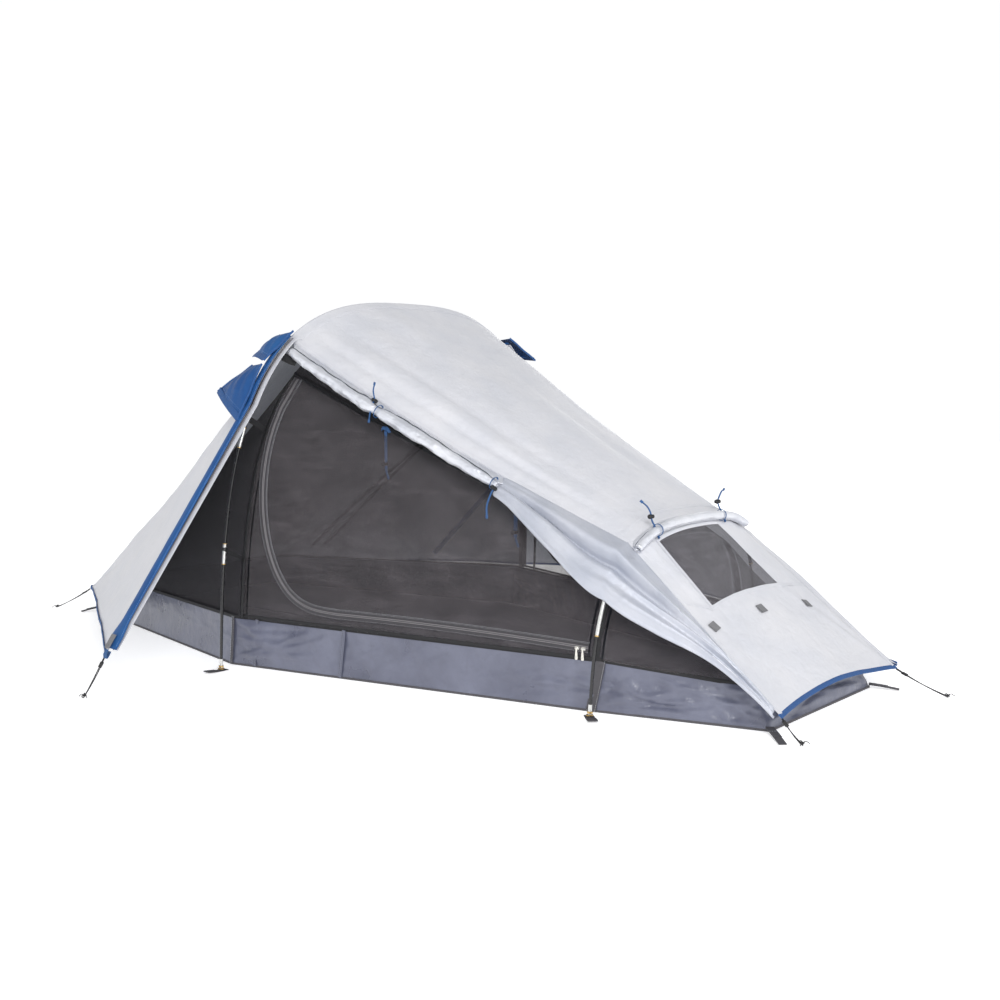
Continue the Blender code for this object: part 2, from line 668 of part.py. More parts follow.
def make_floor_tub():
    """Waterproof floor with upstanding side walls, one sewn tray."""
    outer_low = ring_round(FLOOR_PLAN, TUB_SIDE_STEPS, 5, 4)
    outer_high = ring_round(WALL_PLAN, TUB_SIDE_STEPS, 5, 4)
    middle = Vector((0.2, 0, 0))

    def inset(point, z):
        inward = (middle - Vector((point.x, point.y, 0))).normalized()
        return Vector((point.x, point.y, z)) + inward * FLOOR_THICKNESS * 1.6

    inner_high = [inset(p, p.z) for p in outer_high]
    inner_low = [inset(p, FLOOR_THICKNESS) for p in outer_low]
    bm = bmesh.new()
    low, high, high_inside, low_inside = [[bm.verts.new(p) for p in ring] for ring in
                                          (outer_low, outer_high, inner_high, inner_low)]
    bridge(bm, [high, high_inside])
    for k in range(len(low)):
        after = (k + 1) % len(low)
        for bottom, top in ((low, high), (low_inside, high_inside)):
            split_cell(bm, bottom[k], bottom[after], top[after], top[k])
    bm.faces.new(low)
    bm.faces.new(low_inside)
    add_object("floor_tub", bm, "grey_floor")


def zip_direction(sign):
    """Unit vector along the straight lower part of a mesh door's zip, front to rear."""
    ends = [side_point(along, door_bottom(along), sign) for along in (DOOR_CORNER_ALONG, DOOR_ALONG[1])]
    return (ends[1] - ends[0]).normalized()


def make_zip_sliders(side, sign):
    """Two sliders parked at the rear end of the door's zip, each with a hanging pull tab."""
    along_axis = zip_direction(sign)
    for number, station in enumerate(SLIDER_STATIONS, 1):
        door_edge = side_point(station, door_bottom(station), sign)
        down_axis = (side_point(station, 1.0, sign) - door_edge).normalized()
        out_axis = along_axis.cross(down_axis).normalized()
        if out_axis.y * sign < 0:
            out_axis = -out_axis
        centre = door_edge + down_axis * (ZIP_GAP / 2) + out_axis * 0.0012
        slider_axes = (along_axis, out_axis, down_axis)
        add_object(f"zip_slider_{side}_{number}", block(centre, slider_axes, SLIDER_SIZE),
                   "bright_metal", pivot=centre)
        pivot = centre + out_axis * (SLIDER_SIZE[1] / 2 + 0.0030)
        hanging = (Vector((1, 0, 0)), Vector((0, 1, 0)), Vector((0, 0, 1)))
        tab_centre = pivot - Vector((0, 0, TAB_SIZE[2] / 2 - 0.001))
        add_object(f"zip_pull_{side}_{number}", block(tab_centre, hanging, TAB_SIZE),
                   "bright_metal", pivot=pivot)


# ---- guy lines -----------------------------------------------------------------------------
# Ends of each line in tent stations: on the fly, and the knot on the ground.
GUY_LINES = {
    "guy_line_nose_near": ((-1.133, -0.404, 0.074), (-1.249, -0.467, 0.004)),
    "guy_line_nose_far": ((-1.133, 0.404, 0.074), (-1.249, 0.467, 0.004)),
    "guy_line_peg_near": ((-0.030, -1.064, 0.094), (-0.020, -1.133, 0.004)),
    "guy_line_peg_far": ((-0.030, 1.064, 0.094), (-0.020, 1.133, 0.004)),
    "guy_line_tail_near": ((1.546, -0.338, 0.052), (1.601, -0.348, 0.004)),
    "guy_line_tail_far": ((1.546, 0.310, 0.052), (1.693, 0.290, 0.004)),
}


def make_guy_line(name, top, ground):
    start, end = Vector(top), Vector(ground)
    count = max(8, ceil((end - start).length / (CORD_RADIUS * 2 * 3)))
    curve = bpy.data.curves.new(name, "CURVE")
    curve.dimensions = "3D"
    curve.bevel_depth = CORD_RADIUS
    curve.bevel_resolution = 2
    curve.use_fill_caps = True
    spline = curve.splines.new("POLY")
    spline.points.add(count)
    for i, point in enumerate(spline.points):
        t = i / count
        place = mix(start, end, t)
        place.z -= 0.004 * bow(t)
        point.co = (*place, 1.0)
    curve.materials.append(get_material("guy_cord"))
    line = bpy.data.objects.new(name, curve)
    line.location.x = CENTRING_X
    bpy.context.collection.objects.link(line)


def main():
    clear_scene()
    make_hoop("front", FRONT_HOOP, FRONT_SECTIONS)
    make_hoop("rear", REAR_HOOP, REAR_SECTIONS)
    make_floor_tub()
    make_inner_roof()
    make_inner_end("inner_nose_mesh", INNER_FRONT, WALL_PLAN[1][3], WALL_PLAN[0], -1)
    make_inner_end("inner_tail_mesh", INNER_REAR, WALL_PLAN[2][3], WALL_PLAN[3], 1)
    make_fly_roof()
    make_fly_nose()
    make_fly_tail()
    make_window_roll()
    make_far_door()
    make_door_roll()
    make_door_skirt()
    for side, sign in SIDES.items():
        make_foot_tab(f"front_foot_tab_{side}", FRONT_HOOP, sign, 0.0)
        make_foot_tab(f"rear_foot_tab_{side}", REAR_HOOP, sign, radians(45))
        make_side_wall(side, sign)
        make_mesh_door(side, sign)
        make_zip_sliders(side, sign)
        make_storm_flap(side, sign)
        for level, corners in VENT_HOODS.items():
            make_vent_hood(side, sign, level, corners)
    along_roll = Vector((1, 0, -0.5))
    make_toggle("door_toggle_front", roof_point(0, 0.30) + Vector((0, -0.020, 0.004)), along_roll)
    make_toggle("door_toggle_rear", roof_point(0, 0.675) + Vector((0.01, -0.062, -0.020)), along_roll)
    for name, u in (("window_toggle_near", 0.20), ("window_toggle_far", 0.66)):
        make_toggle(name, tail_point(u, 0.02) + Vector((0.004, 0, 0.034)), Vector((0.2, 1, 0)))
    for name, (top, ground) in GUY_LINES.items():
        make_guy_line(name, top, ground)


main()
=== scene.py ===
"""Looks of the two-hoop hiking tent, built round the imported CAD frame.

Lengths are metres. Shapes are laid out in tent stations (x from the front hoop's feet
towards the tail) and moved by SHIFT into the row frame when a piece is made.
"""
import math

import bmesh
import bpy
import numpy as np
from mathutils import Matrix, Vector


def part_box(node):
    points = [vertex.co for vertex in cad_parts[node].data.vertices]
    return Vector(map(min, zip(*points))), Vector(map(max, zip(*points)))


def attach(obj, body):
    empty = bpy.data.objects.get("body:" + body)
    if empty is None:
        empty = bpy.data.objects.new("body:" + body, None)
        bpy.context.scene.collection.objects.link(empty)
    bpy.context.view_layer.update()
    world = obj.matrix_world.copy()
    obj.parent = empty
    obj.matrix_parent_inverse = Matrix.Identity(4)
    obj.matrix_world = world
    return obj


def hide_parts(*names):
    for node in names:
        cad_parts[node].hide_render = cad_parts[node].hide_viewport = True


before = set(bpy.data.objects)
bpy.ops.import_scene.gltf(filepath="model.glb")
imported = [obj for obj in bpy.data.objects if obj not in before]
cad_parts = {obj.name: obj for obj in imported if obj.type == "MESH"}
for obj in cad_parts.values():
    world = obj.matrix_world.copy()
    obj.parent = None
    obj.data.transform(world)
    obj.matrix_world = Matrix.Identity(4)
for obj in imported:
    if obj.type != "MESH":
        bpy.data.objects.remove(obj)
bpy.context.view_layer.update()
SHIFT = np.array([-0.2075, 0.0, 0.0])
PI = math.pi
SIDES = {"near": -1, "far": 1}


def vec(*p):
    return np.array(p, float)


UP, ALONG = vec(0, 0, 1), vec(1, 0, 0)

# ---- camera ----------------------------------------------------------------------------
camera = bpy.data.objects.new("camera", bpy.data.cameras.new("camera"))
camera.location = vec(2.8574, -2.9206, 0.8186) + SHIFT
camera.rotation_euler = (math.radians(90 - 5.428), 0, math.radians(39.696))
camera.data.lens = 45.74
camera.data.sensor_width = 36
bpy.context.scene.collection.objects.link(camera)
bpy.context.scene.camera = camera


# ---- materials ---------------------------------------------------------------------------
WEAVE_PITCH, MESH_PITCH = 0.0012, 0.0022


class Nodes:
    """A material being built from nodes, with short calls for each kind of node."""

    def __init__(self, name):
        self.material = bpy.data.materials.new(name)
        self.material.use_nodes = True
        self.tree = self.material.node_tree
        self.shader = self.tree.nodes["Principled BSDF"]
        self.uv = self.add("ShaderNodeTexCoord").outputs["UV"]
        self.place = self.add("ShaderNodeTexCoord").outputs["Object"]

    def add(self, kind, inputs=None, **settings):
        node = self.tree.nodes.new(kind)
        for key, value in settings.items():
            setattr(node, key, value)
        for key, value in (inputs or {}).items():
            self.put(node.inputs[key], value)
        return node

    def put(self, socket, value):
        if isinstance(value, bpy.types.NodeSocket):
            self.tree.links.new(value, socket)
        elif isinstance(value, (tuple, list)) and len(value) == 3 and socket.type == "RGBA":
            socket.default_value = (*value, 1)
        else:
            socket.default_value = value

    def noise(self, scale, detail=3.0, rough=0.55, stretch=(1, 1, 1)):
        mapped = self.add("ShaderNodeMapping", {"Vector": self.place, "Scale": stretch})
        return self.add("ShaderNodeTexNoise", {"Vector": mapped.outputs[0], "Scale": scale, "Detail": detail,
                                               "Roughness": rough}).outputs["Fac"]

    def math(self, operation, a, b=0.0, clamp=False):
        return self.add("ShaderNodeMath", {0: a, 1: b}, operation=operation, use_clamp=clamp).outputs[0]

    def blend(self, a, b, amount):
        node = self.add("ShaderNodeMix", data_type="RGBA")
        self.put(node.inputs["Factor"], amount)
        self.put(node.inputs[6], a)
        self.put(node.inputs[7], b)
        return node.outputs[2]

    def spread(self, value, low, high, to_low=0.0, to_high=1.0):
        return self.add("ShaderNodeMapRange", {"Value": value, "From Min": low, "From Max": high,
                                               "To Min": to_low, "To Max": to_high}).outputs[0]

    def ribs(self, pitch, axis):
        """Parallel rounded ribs of that pitch, 0 to 1, across the UV's u or v."""
        parts = self.add("ShaderNodeSeparateXYZ", {0: self.uv})
        turns = self.math("MULTIPLY", parts.outputs[axis], 2 * PI / pitch)
        return self.math("ADD", self.math("MULTIPLY", self.math("SINE", turns), 0.5), 0.5)

    def bump(self, height, distance, strength=1.0, below=None):
        inputs = {"Height": height, "Distance": distance, "Strength": strength}
        if below is not None:
            inputs["Normal"] = below
        return self.add("ShaderNodeBump", inputs).outputs[0]

    def finish(self, **inputs):
        for key, value in inputs.items():
            self.put(self.shader.inputs[key.replace("_", " ")], value)
        return self.material


def shade(colour, factor, more=0.0):
    return tuple(min(c * factor + more, 1) for c in colour)


def woven(name, colour, tint, rough, crumple, sheen=0.15, metallic=0.0, grid=0.0, glow=0.0, shine=0.5):
    """Coated cloth: fine weave, soft crumples, slow changes of tone, and an optional ripstop grid."""
    m = Nodes(name)
    slow = m.noise(7.0, 4)
    tone = m.blend(colour, tint, m.spread(slow, 0.35, 0.7))
    tone = m.blend(tone, shade(colour, 0.86), m.spread(m.noise(42.0, 5), 0.55, 0.9, 0, 0.5))
    weave = m.math("MULTIPLY", m.ribs(WEAVE_PITCH, "X"), m.ribs(WEAVE_PITCH, "Y"))
    height = m.math("ADD", m.math("MULTIPLY", weave, 0.5), m.noise(900.0, 1))
    fine = m.bump(height, WEAVE_PITCH * 0.08, 0.5)
    if grid:
        lines = [m.math("POWER", m.ribs(grid, axis), 40.0) for axis in "XY"]
        fine = m.bump(m.math("MAXIMUM", *lines), 0.00018, 0.6, fine)
    ridged = m.math("ABSOLUTE", m.math("SUBTRACT", m.noise(16.0, 5, 0.5), 0.5))
    folds = m.bump(m.math("ADD", ridged, m.math("MULTIPLY", m.noise(60.0, 3), 0.25)), crumple * 6, 0.7, fine)
    return m.finish(Base_Color=tone, Roughness=m.spread(slow, 0.3, 0.7, rough - 0.05, rough + 0.06),
                    Metallic=metallic, Sheen_Weight=sheen, Normal=folds, Specular_IOR_Level=shine,
                    Emission_Color=colour, Emission_Strength=glow)


def netting(name, colour, cover, sheen=0.2):
    """Fine insect mesh: see-through holes between dark threads, with lighter streaks painted as highlights of
    creases.
    """
    m = Nodes(name)
    threads = m.math("MAXIMUM", *[m.math("POWER", m.ribs(MESH_PITCH, axis), 1.5) for axis in "XY"])
    alpha = m.math("ADD", m.math("MULTIPLY", m.math("SUBTRACT", threads, 0.75), 0.35), cover)
    alpha = m.math("ADD", alpha, m.spread(m.noise(11.0, 3), 0.3, 0.7, -0.03, 0.04), clamp=True)
    tone = m.blend(colour, shade(colour, 1.5), m.spread(m.noise(9.0, 3), 0.4, 0.8))
    # painted highlights: lighter streaks that stand for creases catching the light
    crease_highlight = m.spread(m.noise(26.0, 3, 0.6, stretch=(0.45, 0.6, 1.9)), 0.50, 0.72)
    tone = m.blend(tone, shade(colour, 2.2), m.math("MULTIPLY", crease_highlight, 0.55))
    return m.finish(Base_Color=tone, Roughness=0.85, Alpha=alpha, Sheen_Weight=sheen,
                    Normal=m.bump(threads, 0.0004, 0.5))


def ribbed(name, colour, rough, pitch=0.0016, lighter=1.35):
    """Narrow woven webbing: ribs along it and fine picks across it."""
    m = Nodes(name)
    across, along = m.ribs(pitch, "X"), m.ribs(pitch * 0.8, "Y")
    tone = m.blend(colour, shade(colour, lighter), m.math("MULTIPLY", across, along))
    tone = m.blend(tone, shade(colour, 0.6), m.spread(m.noise(120.0, 3), 0.5, 0.8, 0, 0.5))
    fine = m.bump(m.math("ADD", across, m.math("MULTIPLY", along, 0.6)), 0.00035, 0.8)
    return m.finish(Base_Color=tone, Roughness=rough, Normal=m.bump(m.noise(300.0, 2), 0.0003, 0.5, fine))


def hard(name, colour, rough, metallic=0.0, coat=0.0):
    """Plastic, metal or fibreglass with faint handling marks."""
    m = Nodes(name)
    speck = m.noise(260.0, 4)
    tone = m.blend(colour, shade(colour, 1.25, 0.01), m.spread(speck, 0.5, 0.8))
    scuff = m.spread(m.noise(60.0, 4), 0.35, 0.75, rough - 0.06, rough + 0.12)
    return m.finish(Base_Color=tone, Roughness=scuff, Metallic=metallic, Coat_Weight=coat,
                    Normal=m.bump(speck, 0.0002, 0.5))


ripstop = dict(grid=0.006)
trim = dict(rough=0.55, crumple=0.0014, sheen=0.02, shine=0.25)
LOOKS = {   # material slot: its materials by short name
    "silver_fly": {
        "fly": woven("fly_silver", (0.60, 0.61, 0.655), (0.67, 0.67, 0.70), 0.46, 0.0012, 0.05, **ripstop),
        # the inner face glows: painted light that stands for the daylight coming through the thin cloth
        "fly_inner": woven("fly_silver_inner", (0.52, 0.54, 0.60), (0.64, 0.66, 0.70), 0.40, 0.0018, 0.05,
                           glow=0.13, **ripstop),
        "roll": woven("fly_silver_rolled", (0.62, 0.64, 0.70), (0.78, 0.79, 0.83), 0.32, 0.0026, 0.0, 0.45,
                      **ripstop),
        # the loose end's cloth: the fly cloth made darker and bluer as painted shade, with a more metallic
        # finish
        "painted_shade_silver": woven("fly_silver_loose_painted_shade", (0.46, 0.485, 0.555), (0.57, 0.585, 0.64), 0.42, 0.0010, 0.0, 0.30,
                       **ripstop),
        "thread": hard("pale_thread", (0.55, 0.56, 0.60), 0.7)},
    "blue_trim": {
        "blue": woven("blue_trim_cloth", (0.012, 0.068, 0.225), (0.020, 0.105, 0.30), **trim),
        # darker copy of the blue cloth: painted shade, for the far-side hoods and the strap on the nose
        # netting's far flank
        "shaded_navy": woven("shaded_navy_trim_cloth", (0.008, 0.030, 0.095), (0.012, 0.045, 0.135), **trim),
        "binding": ribbed("blue_binding", (0.016, 0.082, 0.255), 0.65, lighter=1.2),
        "blue_cord": ribbed("blue_loop_tape", (0.03, 0.10, 0.26), 0.7, 0.0011),
        "blue_thread": hard("blue_thread", (0.16, 0.30, 0.56), 0.7)},
    "dark_mesh": {
        "net": netting("dark_netting", (0.072, 0.064, 0.070), 0.54),
        # darker, less see-through copy of the netting: painted shade for the nose netting under the fly
        "shaded_net": netting("netting_painted_shade", (0.009, 0.007, 0.010), 0.90, sheen=0.04),
        "pane": netting("window_netting", (0.085, 0.079, 0.090), 0.62),
        "tape": ribbed("zip_tape", (0.050, 0.047, 0.053), 0.7, 0.0011),
        "coil": hard("zip_coil", (0.19, 0.18, 0.19), 0.45)},
    "grey_floor": {
        "floor": woven("slate_floor_cloth", (0.094, 0.100, 0.145), (0.152, 0.162, 0.222), 0.30, 0.0009,
                       sheen=0.0, shine=0.7),
        "floor_inner": woven("slate_floor_inside", (0.110, 0.116, 0.150), (0.150, 0.158, 0.200), 0.45,
                             0.0010)},
    "black_webbing": {
        "web": ribbed("grey_webbing", (0.075, 0.072, 0.080), 0.75),
        "black_web": ribbed("black_webbing_strap", (0.014, 0.014, 0.016), 0.7),
        "hook_tape": ribbed("grey_hook_and_loop", (0.20, 0.20, 0.21), 0.95, 0.0013),
        "dark_thread": hard("dark_thread", (0.03, 0.03, 0.035), 0.7)},
    "black_fibreglass": {"pole": hard("black_pole", (0.006, 0.006, 0.007), 0.22, coat=0.4)},
    "black_plastic": {"plastic": hard("black_moulding", (0.012, 0.012, 0.014), 0.38)},
    "bright_metal": {
        "enamel": hard("cream_enamel", (0.74, 0.72, 0.66), 0.30, coat=0.5),
        "steel": hard("silver_ferrule", (0.72, 0.72, 0.70), 0.26, metallic=1.0),
        "brass": hard("brass_ring", (0.62, 0.42, 0.16), 0.3, metallic=1.0)},
    "guy_cord": {"cord": ribbed("guy_cord_braid", (0.030, 0.030, 0.034), 0.8, 0.0009)},
    "elastic_cord": {"elastic": ribbed("elastic_braid", (0.5, 0.5, 0.5), 0.8, 0.0007)},
}
MATERIALS = {key: material for looks in LOOKS.values() for key, material in looks.items()}


# ---- shape tools -------------------------------------------------------------------------
def span(n, a=0.0, b=1.0):
    return np.linspace(a, b, n)


def mix(a, b, t):
    return a + (b - a) * t


def bow(t):
    return 4 * t * (1 - t)


def unit(a):
    return a / np.maximum(np.linalg.norm(a, axis=-1, keepdims=True), 1e-12)


def ease(t):
    t = np.clip(t, 0, 1)
    return t * t * (3 - 2 * t)


def ripple(p, size, seed, stretch=(1, 1, 1)):
    """Smooth random field of about that feature size, near -1 to 1."""
    waves = 18
    rng = np.random.default_rng(seed)
    total = 0
    for _ in range(waves):
        way = unit(rng.normal(size=3)) * rng.uniform(0.5, 1.5) / size / np.array(stretch)
        total = total + np.sin(p @ way * 2 * PI + rng.uniform(0, 2 * PI))
    return total / math.sqrt(waves)


def crease(p, a, b, width, depth):
    """A straight soft fold between two points, strongest in its middle."""
    a, b = np.array(a, float), np.array(b, float)
    t = np.clip(((p - a) @ (b - a)) / ((b - a) @ (b - a)), 0, 1)
    away = np.linalg.norm(p - (a + t[..., None] * (b - a)), axis=-1)
    return depth * np.exp(-(away / width) ** 2) * np.clip(bow(t), 0, 1) ** 0.5


def faces_of(rows, cols, close=False, keep=None):
    i, j = np.meshgrid(np.arange(rows - 1), np.arange(cols if close else cols - 1), indexing="ij")
    k = (j + 1) % cols
    quads = np.stack([i * cols + j, (i + 1) * cols + j, (i + 1) * cols + k, i * cols + k], -1)
    return [tuple(f) for f in (quads[keep] if keep is not None else quads.reshape(-1, 4))]


def steps_of(points, axis=0, **start):
    return np.cumsum(np.linalg.norm(np.diff(points, axis=axis, **start), axis=-1), axis=axis)


def surface(grid, keep=None):
    """An open sheet on a grid of points. Its UVs are the lengths across and along it, in metres."""
    n, m = grid.shape[:2]
    uv = np.stack([steps_of(grid, 1, prepend=grid[:, :1]), steps_of(grid, 0, prepend=grid[:1])], -1)
    return grid.reshape(-1, 3), faces_of(n, m, keep=keep), uv.reshape(-1, 2)


def normals(grid):
    """Unit normals of a grid of points, pointing away from the tent's long axis."""
    n = unit(np.cross(np.gradient(grid, axis=0), np.gradient(grid, axis=1)))
    centre = grid * ALONG + vec(0, 0, 0.1)
    return -n if ((n * (grid - centre)).sum(-1)).mean() < 0 else n


def frames(points, side=None):
    """Ways ahead, across and up along points. Without side, across is carried along unturned."""
    ahead = unit(np.gradient(points, axis=0))
    if side is None:
        start = UP if abs(ahead[0, 2]) < 0.9 else ALONG
        across = [unit(start - ahead[0] * (start @ ahead[0]))]
        for t in ahead[1:]:
            across.append(unit(across[-1] - t * (across[-1] @ t)))
        across = np.array(across)
    else:
        across = np.broadcast_to(np.array(side, float), points.shape)
        across = unit(across - ahead * (across * ahead).sum(-1, keepdims=True))
    return ahead, across, np.cross(ahead, across)


def sweep(points, half_width, half_thick=None, side=None, facets=10, square=1.0):
    """Closed solid swept along points: round, or flat with side giving its width's way."""
    points = np.array(points, float)
    half_thick = half_width if half_thick is None else half_thick
    _, across, up = frames(points, side)
    turn = np.arange(facets) * 2 * PI / facets + PI / facets
    c, s = (np.sign(x) * abs(x) ** square for x in (np.cos(turn), np.sin(turn)))
    n = len(points)
    a, b = (np.broadcast_to(x, n)[:, None, None] for x in (half_width, half_thick))
    grid = points[:, None] + across[:, None] * a * c[:, None] + up[:, None] * b * s[:, None]
    far = np.concatenate([[0], steps_of(points)])
    uv = np.stack(np.broadcast_arrays(a[..., 0] * c, far[:, None]), -1).reshape(-1, 2)
    ends = [tuple(range(facets))[::-1], tuple(range((n - 1) * facets, n * facets))]
    return grid.reshape(-1, 3), faces_of(n, facets, close=True) + ends, uv


def evenly(points, steps):
    far = np.concatenate([[0], steps_of(points)])
    at = span(steps + 1, 0, far[-1])
    return np.stack([np.interp(at, far, points[:, k]) for k in range(3)], -1)


def curve(points, steps):
    """Catmull-Rom curve through a few points, evenly read at steps + 1 places."""
    p = np.array(points, float)
    p = np.vstack([2 * p[0] - p[1], p, 2 * p[-1] - p[-2]])
    t = np.linspace(0, 1, 24, endpoint=False)[:, None]
    out = []
    for i in range(1, len(p) - 2):
        a, b, c, d = p[i - 1:i + 3]
        out.append(0.5 * (2 * b + (c - a) * t + (2 * a - 5 * b + 4 * c - d) * t ** 2
                          + (3 * b - a - 3 * c + d) * t ** 3))
    return evenly(np.vstack(out + [p[-2:-1]]), steps)


def circle(centre, a, b, radius, n):
    """A closed ring of n points in the plane of a and b."""
    turn = span(n, 0, 2 * PI)[:, None]
    return centre + (a * np.cos(turn) + b * np.sin(turn)) * radius


def rework(mesh, change):
    bm = bmesh.new()
    bm.from_mesh(mesh)
    change(bm)
    bm.to_mesh(mesh)
    bm.free()


def piece(name, shapes, material, body="tent", stands_for=(), flip=False, sharp=35):
    """Makes one object from shapes, in tent stations, and hangs it on a CAD body."""
    shapes = [shapes] if isinstance(shapes, tuple) else shapes
    faces, first = [], 0
    for v, f, _ in shapes:
        faces += [tuple(int(k) + first for k in face) for face in f]
        first += len(v)
    verts, uvs = (np.vstack([shape[k] for shape in shapes]) for k in (0, 2))
    mesh = bpy.data.meshes.new(name)
    mesh.from_pydata((verts + SHIFT).tolist(), [], faces)
    layer = mesh.uv_layers.new(name="UVMap")
    loops = np.zeros(len(mesh.loops), np.int32)
    mesh.loops.foreach_get("vertex_index", loops)
    layer.data.foreach_set("uv", uvs[loops].astype(np.float32).ravel())
    rework(mesh, lambda bm: flip or bmesh.ops.recalc_face_normals(bm, faces=bm.faces))
    mesh.shade_smooth()
    mesh.set_sharp_from_angle(angle=math.radians(sharp))
    mesh.materials.append(MATERIALS[material])
    thing = bpy.data.objects.new(name, mesh)
    bpy.context.scene.collection.objects.link(thing)
    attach(thing, body)
    if stands_for:
        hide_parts(*stands_for)
    return thing


def rod(name, line, half_width, material, half_thick=None, side=None, facets=8, square=1.0, **rest):
    return piece(name, sweep(line, half_width, half_thick, side, facets, square), material, **rest)


def modified(thing, kind, **settings):
    """Adds a modifier and keeps its result as the mesh."""
    modifier = thing.modifiers.new(kind, kind)
    for key, value in settings.items():
        setattr(modifier, key, value)
    bpy.context.view_layer.update()
    made = bpy.data.meshes.new_from_object(thing.evaluated_get(bpy.context.evaluated_depsgraph_get()))
    thing.modifiers.clear()
    thing.data = made
    made.shade_smooth()
    return thing


def cloth(name, shapes, material, thick, lie, inner=None, weld=False, **rest):
    """A sheet of cloth with two faces, whose outer one is the shapes. lie: how it is held, on what; it is not
    used.
    """
    thing = piece(name, shapes, material, flip=True, sharp=180, **rest)

    def face_outward(bm):
        if weld:
            bmesh.ops.remove_doubles(bm, verts=bm.verts, dist=2e-5)
        bmesh.ops.recalc_face_normals(bm, faces=bm.faces)
        bm.normal_update()
        lean = 0
        for f in bm.faces:
            middle = f.calc_center_median()
            lean += f.normal.dot(middle - Vector((middle.x, 0, 0.1))) * f.calc_area()
        if lean < 0:
            bmesh.ops.reverse_faces(bm, faces=bm.faces)

    rework(thing.data, face_outward)
    if inner:
        thing.data.materials.append(MATERIALS[inner])
    modified(thing, "SOLIDIFY", thickness=thick, offset=-1, use_even_offset=False,
             material_offset=1 if inner else 0)
    return thing


def stitches(name, points, lift, material="thread", body="tent"):
    """A row of short raised threads along points; lift points away from the cloth."""
    pitch, half_length, half_width, rise = 0.0048, 0.0017, 0.0003192, 0.00057
    points = np.array(points, float)
    line = evenly(points, max(2, int(steps_of(points)[-1] / pitch)))
    ahead = unit(np.gradient(line, axis=0))
    lift = unit(np.broadcast_to(np.array(lift, float), points.shape))
    if len(lift) != len(line):
        at = span(len(line), 0, len(lift) - 1)
        lift = unit(np.stack([np.interp(at, np.arange(len(lift)), lift[:, k]) for k in range(3)], -1))
    side = unit(np.cross(ahead, lift))
    corners = [line + ahead * a * half_length + side * w * half_width + lift * h * rise
               for a, w, h in ((-1, -1, 0), (-1, 1, 0), (1, 1, 0), (1, -1, 0), (-0.5, 0, 1), (0.5, 0, 1))]
    verts = np.stack(corners, 1).reshape(-1, 3)
    wedge = ((0, 1, 2, 3), (0, 3, 5, 4), (1, 4, 5, 2), (0, 4, 1), (3, 2, 5))
    faces = [tuple(6 * k + corner for corner in face) for k in range(len(line)) for face in wedge]
    return piece(name, (verts, faces, np.zeros((len(verts), 2))), material, body)


def moulded(name, centre, axes, size, material, crease_at, **rest):
    """Small hard part: a box along three unit axes, rounded by a subdivision surface."""
    signs = [(x, y, z) for z in (-1, 1) for x, y in ((-1, -1), (1, -1), (1, 1), (-1, 1))]
    points = np.array([centre + sum(axes[k] * size[k] / 2 * s[k] for k in range(3)) for s in signs])
    faces = [(0, 3, 2, 1), (4, 5, 6, 7), (0, 1, 5, 4), (1, 2, 6, 5), (2, 3, 7, 6), (3, 0, 4, 7)]
    thing = piece(name, (points, faces, points[:, :2]), material, sharp=180, **rest)
    layer = thing.data.attributes.new("crease_edge", "FLOAT", "EDGE")
    layer.data.foreach_set("value", np.full(len(thing.data.edges), crease_at, np.float32))
    return modified(thing, "SUBSURF", levels=2, render_levels=2)


def ribbon(name, line, lift, width, material, body="tent", thick=0.0006):
    """Flat tape along a line, lying square to lift."""
    line = np.array(line)
    ahead = unit(np.gradient(line, axis=0))
    across = np.cross(ahead, unit(np.broadcast_to(lift, line.shape)))
    return rod(name, line, width / 2, material, thick, across, square=0.4, body=body)


def centre_of(node):
    low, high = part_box(node)
    return (np.array(low) + np.array(high)) / 2 - SHIFT


# ---- the tent's form, as in the CAD ----------------------------------------------------------
FRONT = (0.0, 0.047, 0.0, 0.711, 1.043)          # foot x, lean, middle y, half width, height
REAR = (1.093, 0.060, -0.055, 0.399, 0.458)
INNER_FRONT = (-0.004, 0.047, 0.0, 0.640, 0.970)
INNER_REAR = (1.085, 0.060, -0.055, 0.352, 0.412)
OUT = 0.012                                      # the fly's distance outside the poles
SHOULDER, LEAVE, SEAM_ANGLE = math.radians(56), math.radians(36), math.radians(52)
W_LEAVE = 0.3                                    # share of a door's front edge that follows the hoop
V_TAIL = 0.7                                     # share of a door's upper edge that follows the roof
NOSE = vec(-1.13, 0.400, 0.080)
# the tub's outline on the ground and at its rim, from head to foot: x, middle y, half width, z
FLOOR = [(-1.10, 0.0, 0.400, 0.0), (-0.04, 0.0, 0.640, 0.0), (1.065, -0.055, 0.352, 0.0),
         (1.490, -0.012, 0.278, 0.0)]
WALL = [(-1.03, 0.0, 0.375, 0.120), (-0.03, 0.0, 0.637, 0.140), (1.090, -0.055, 0.346, 0.130),
        (1.440, -0.018, 0.256, 0.095)]


def peg(sign):
    return vec(-0.03, sign * 1.060, 0.100)


def tail_corner(sign):
    return vec(1.545, -0.020 + sign * 0.326, 0.060)


def hoop(h, angle, outset=0.0):
    c, s = np.cos(angle), np.clip(np.sin(angle), 0, 1)
    z = (h[4] + outset) * s ** 0.649
    y = h[2] - (h[3] + outset) * np.sign(c) * abs(c) ** 0.696
    return np.stack(np.broadcast_arrays(h[0] + h[1] * z, y, z), -1)


def turn_of(angle, sign):
    return angle if sign < 0 else PI - angle


def angle_at(h, z):
    rise = (z / h[4]) ** (1 / 0.649)
    return math.atan2(rise, math.sqrt(1 - rise * rise))


def at_height(h, z, sign, outset=0.0):
    return hoop(h, turn_of(angle_at(h, z), sign), outset)


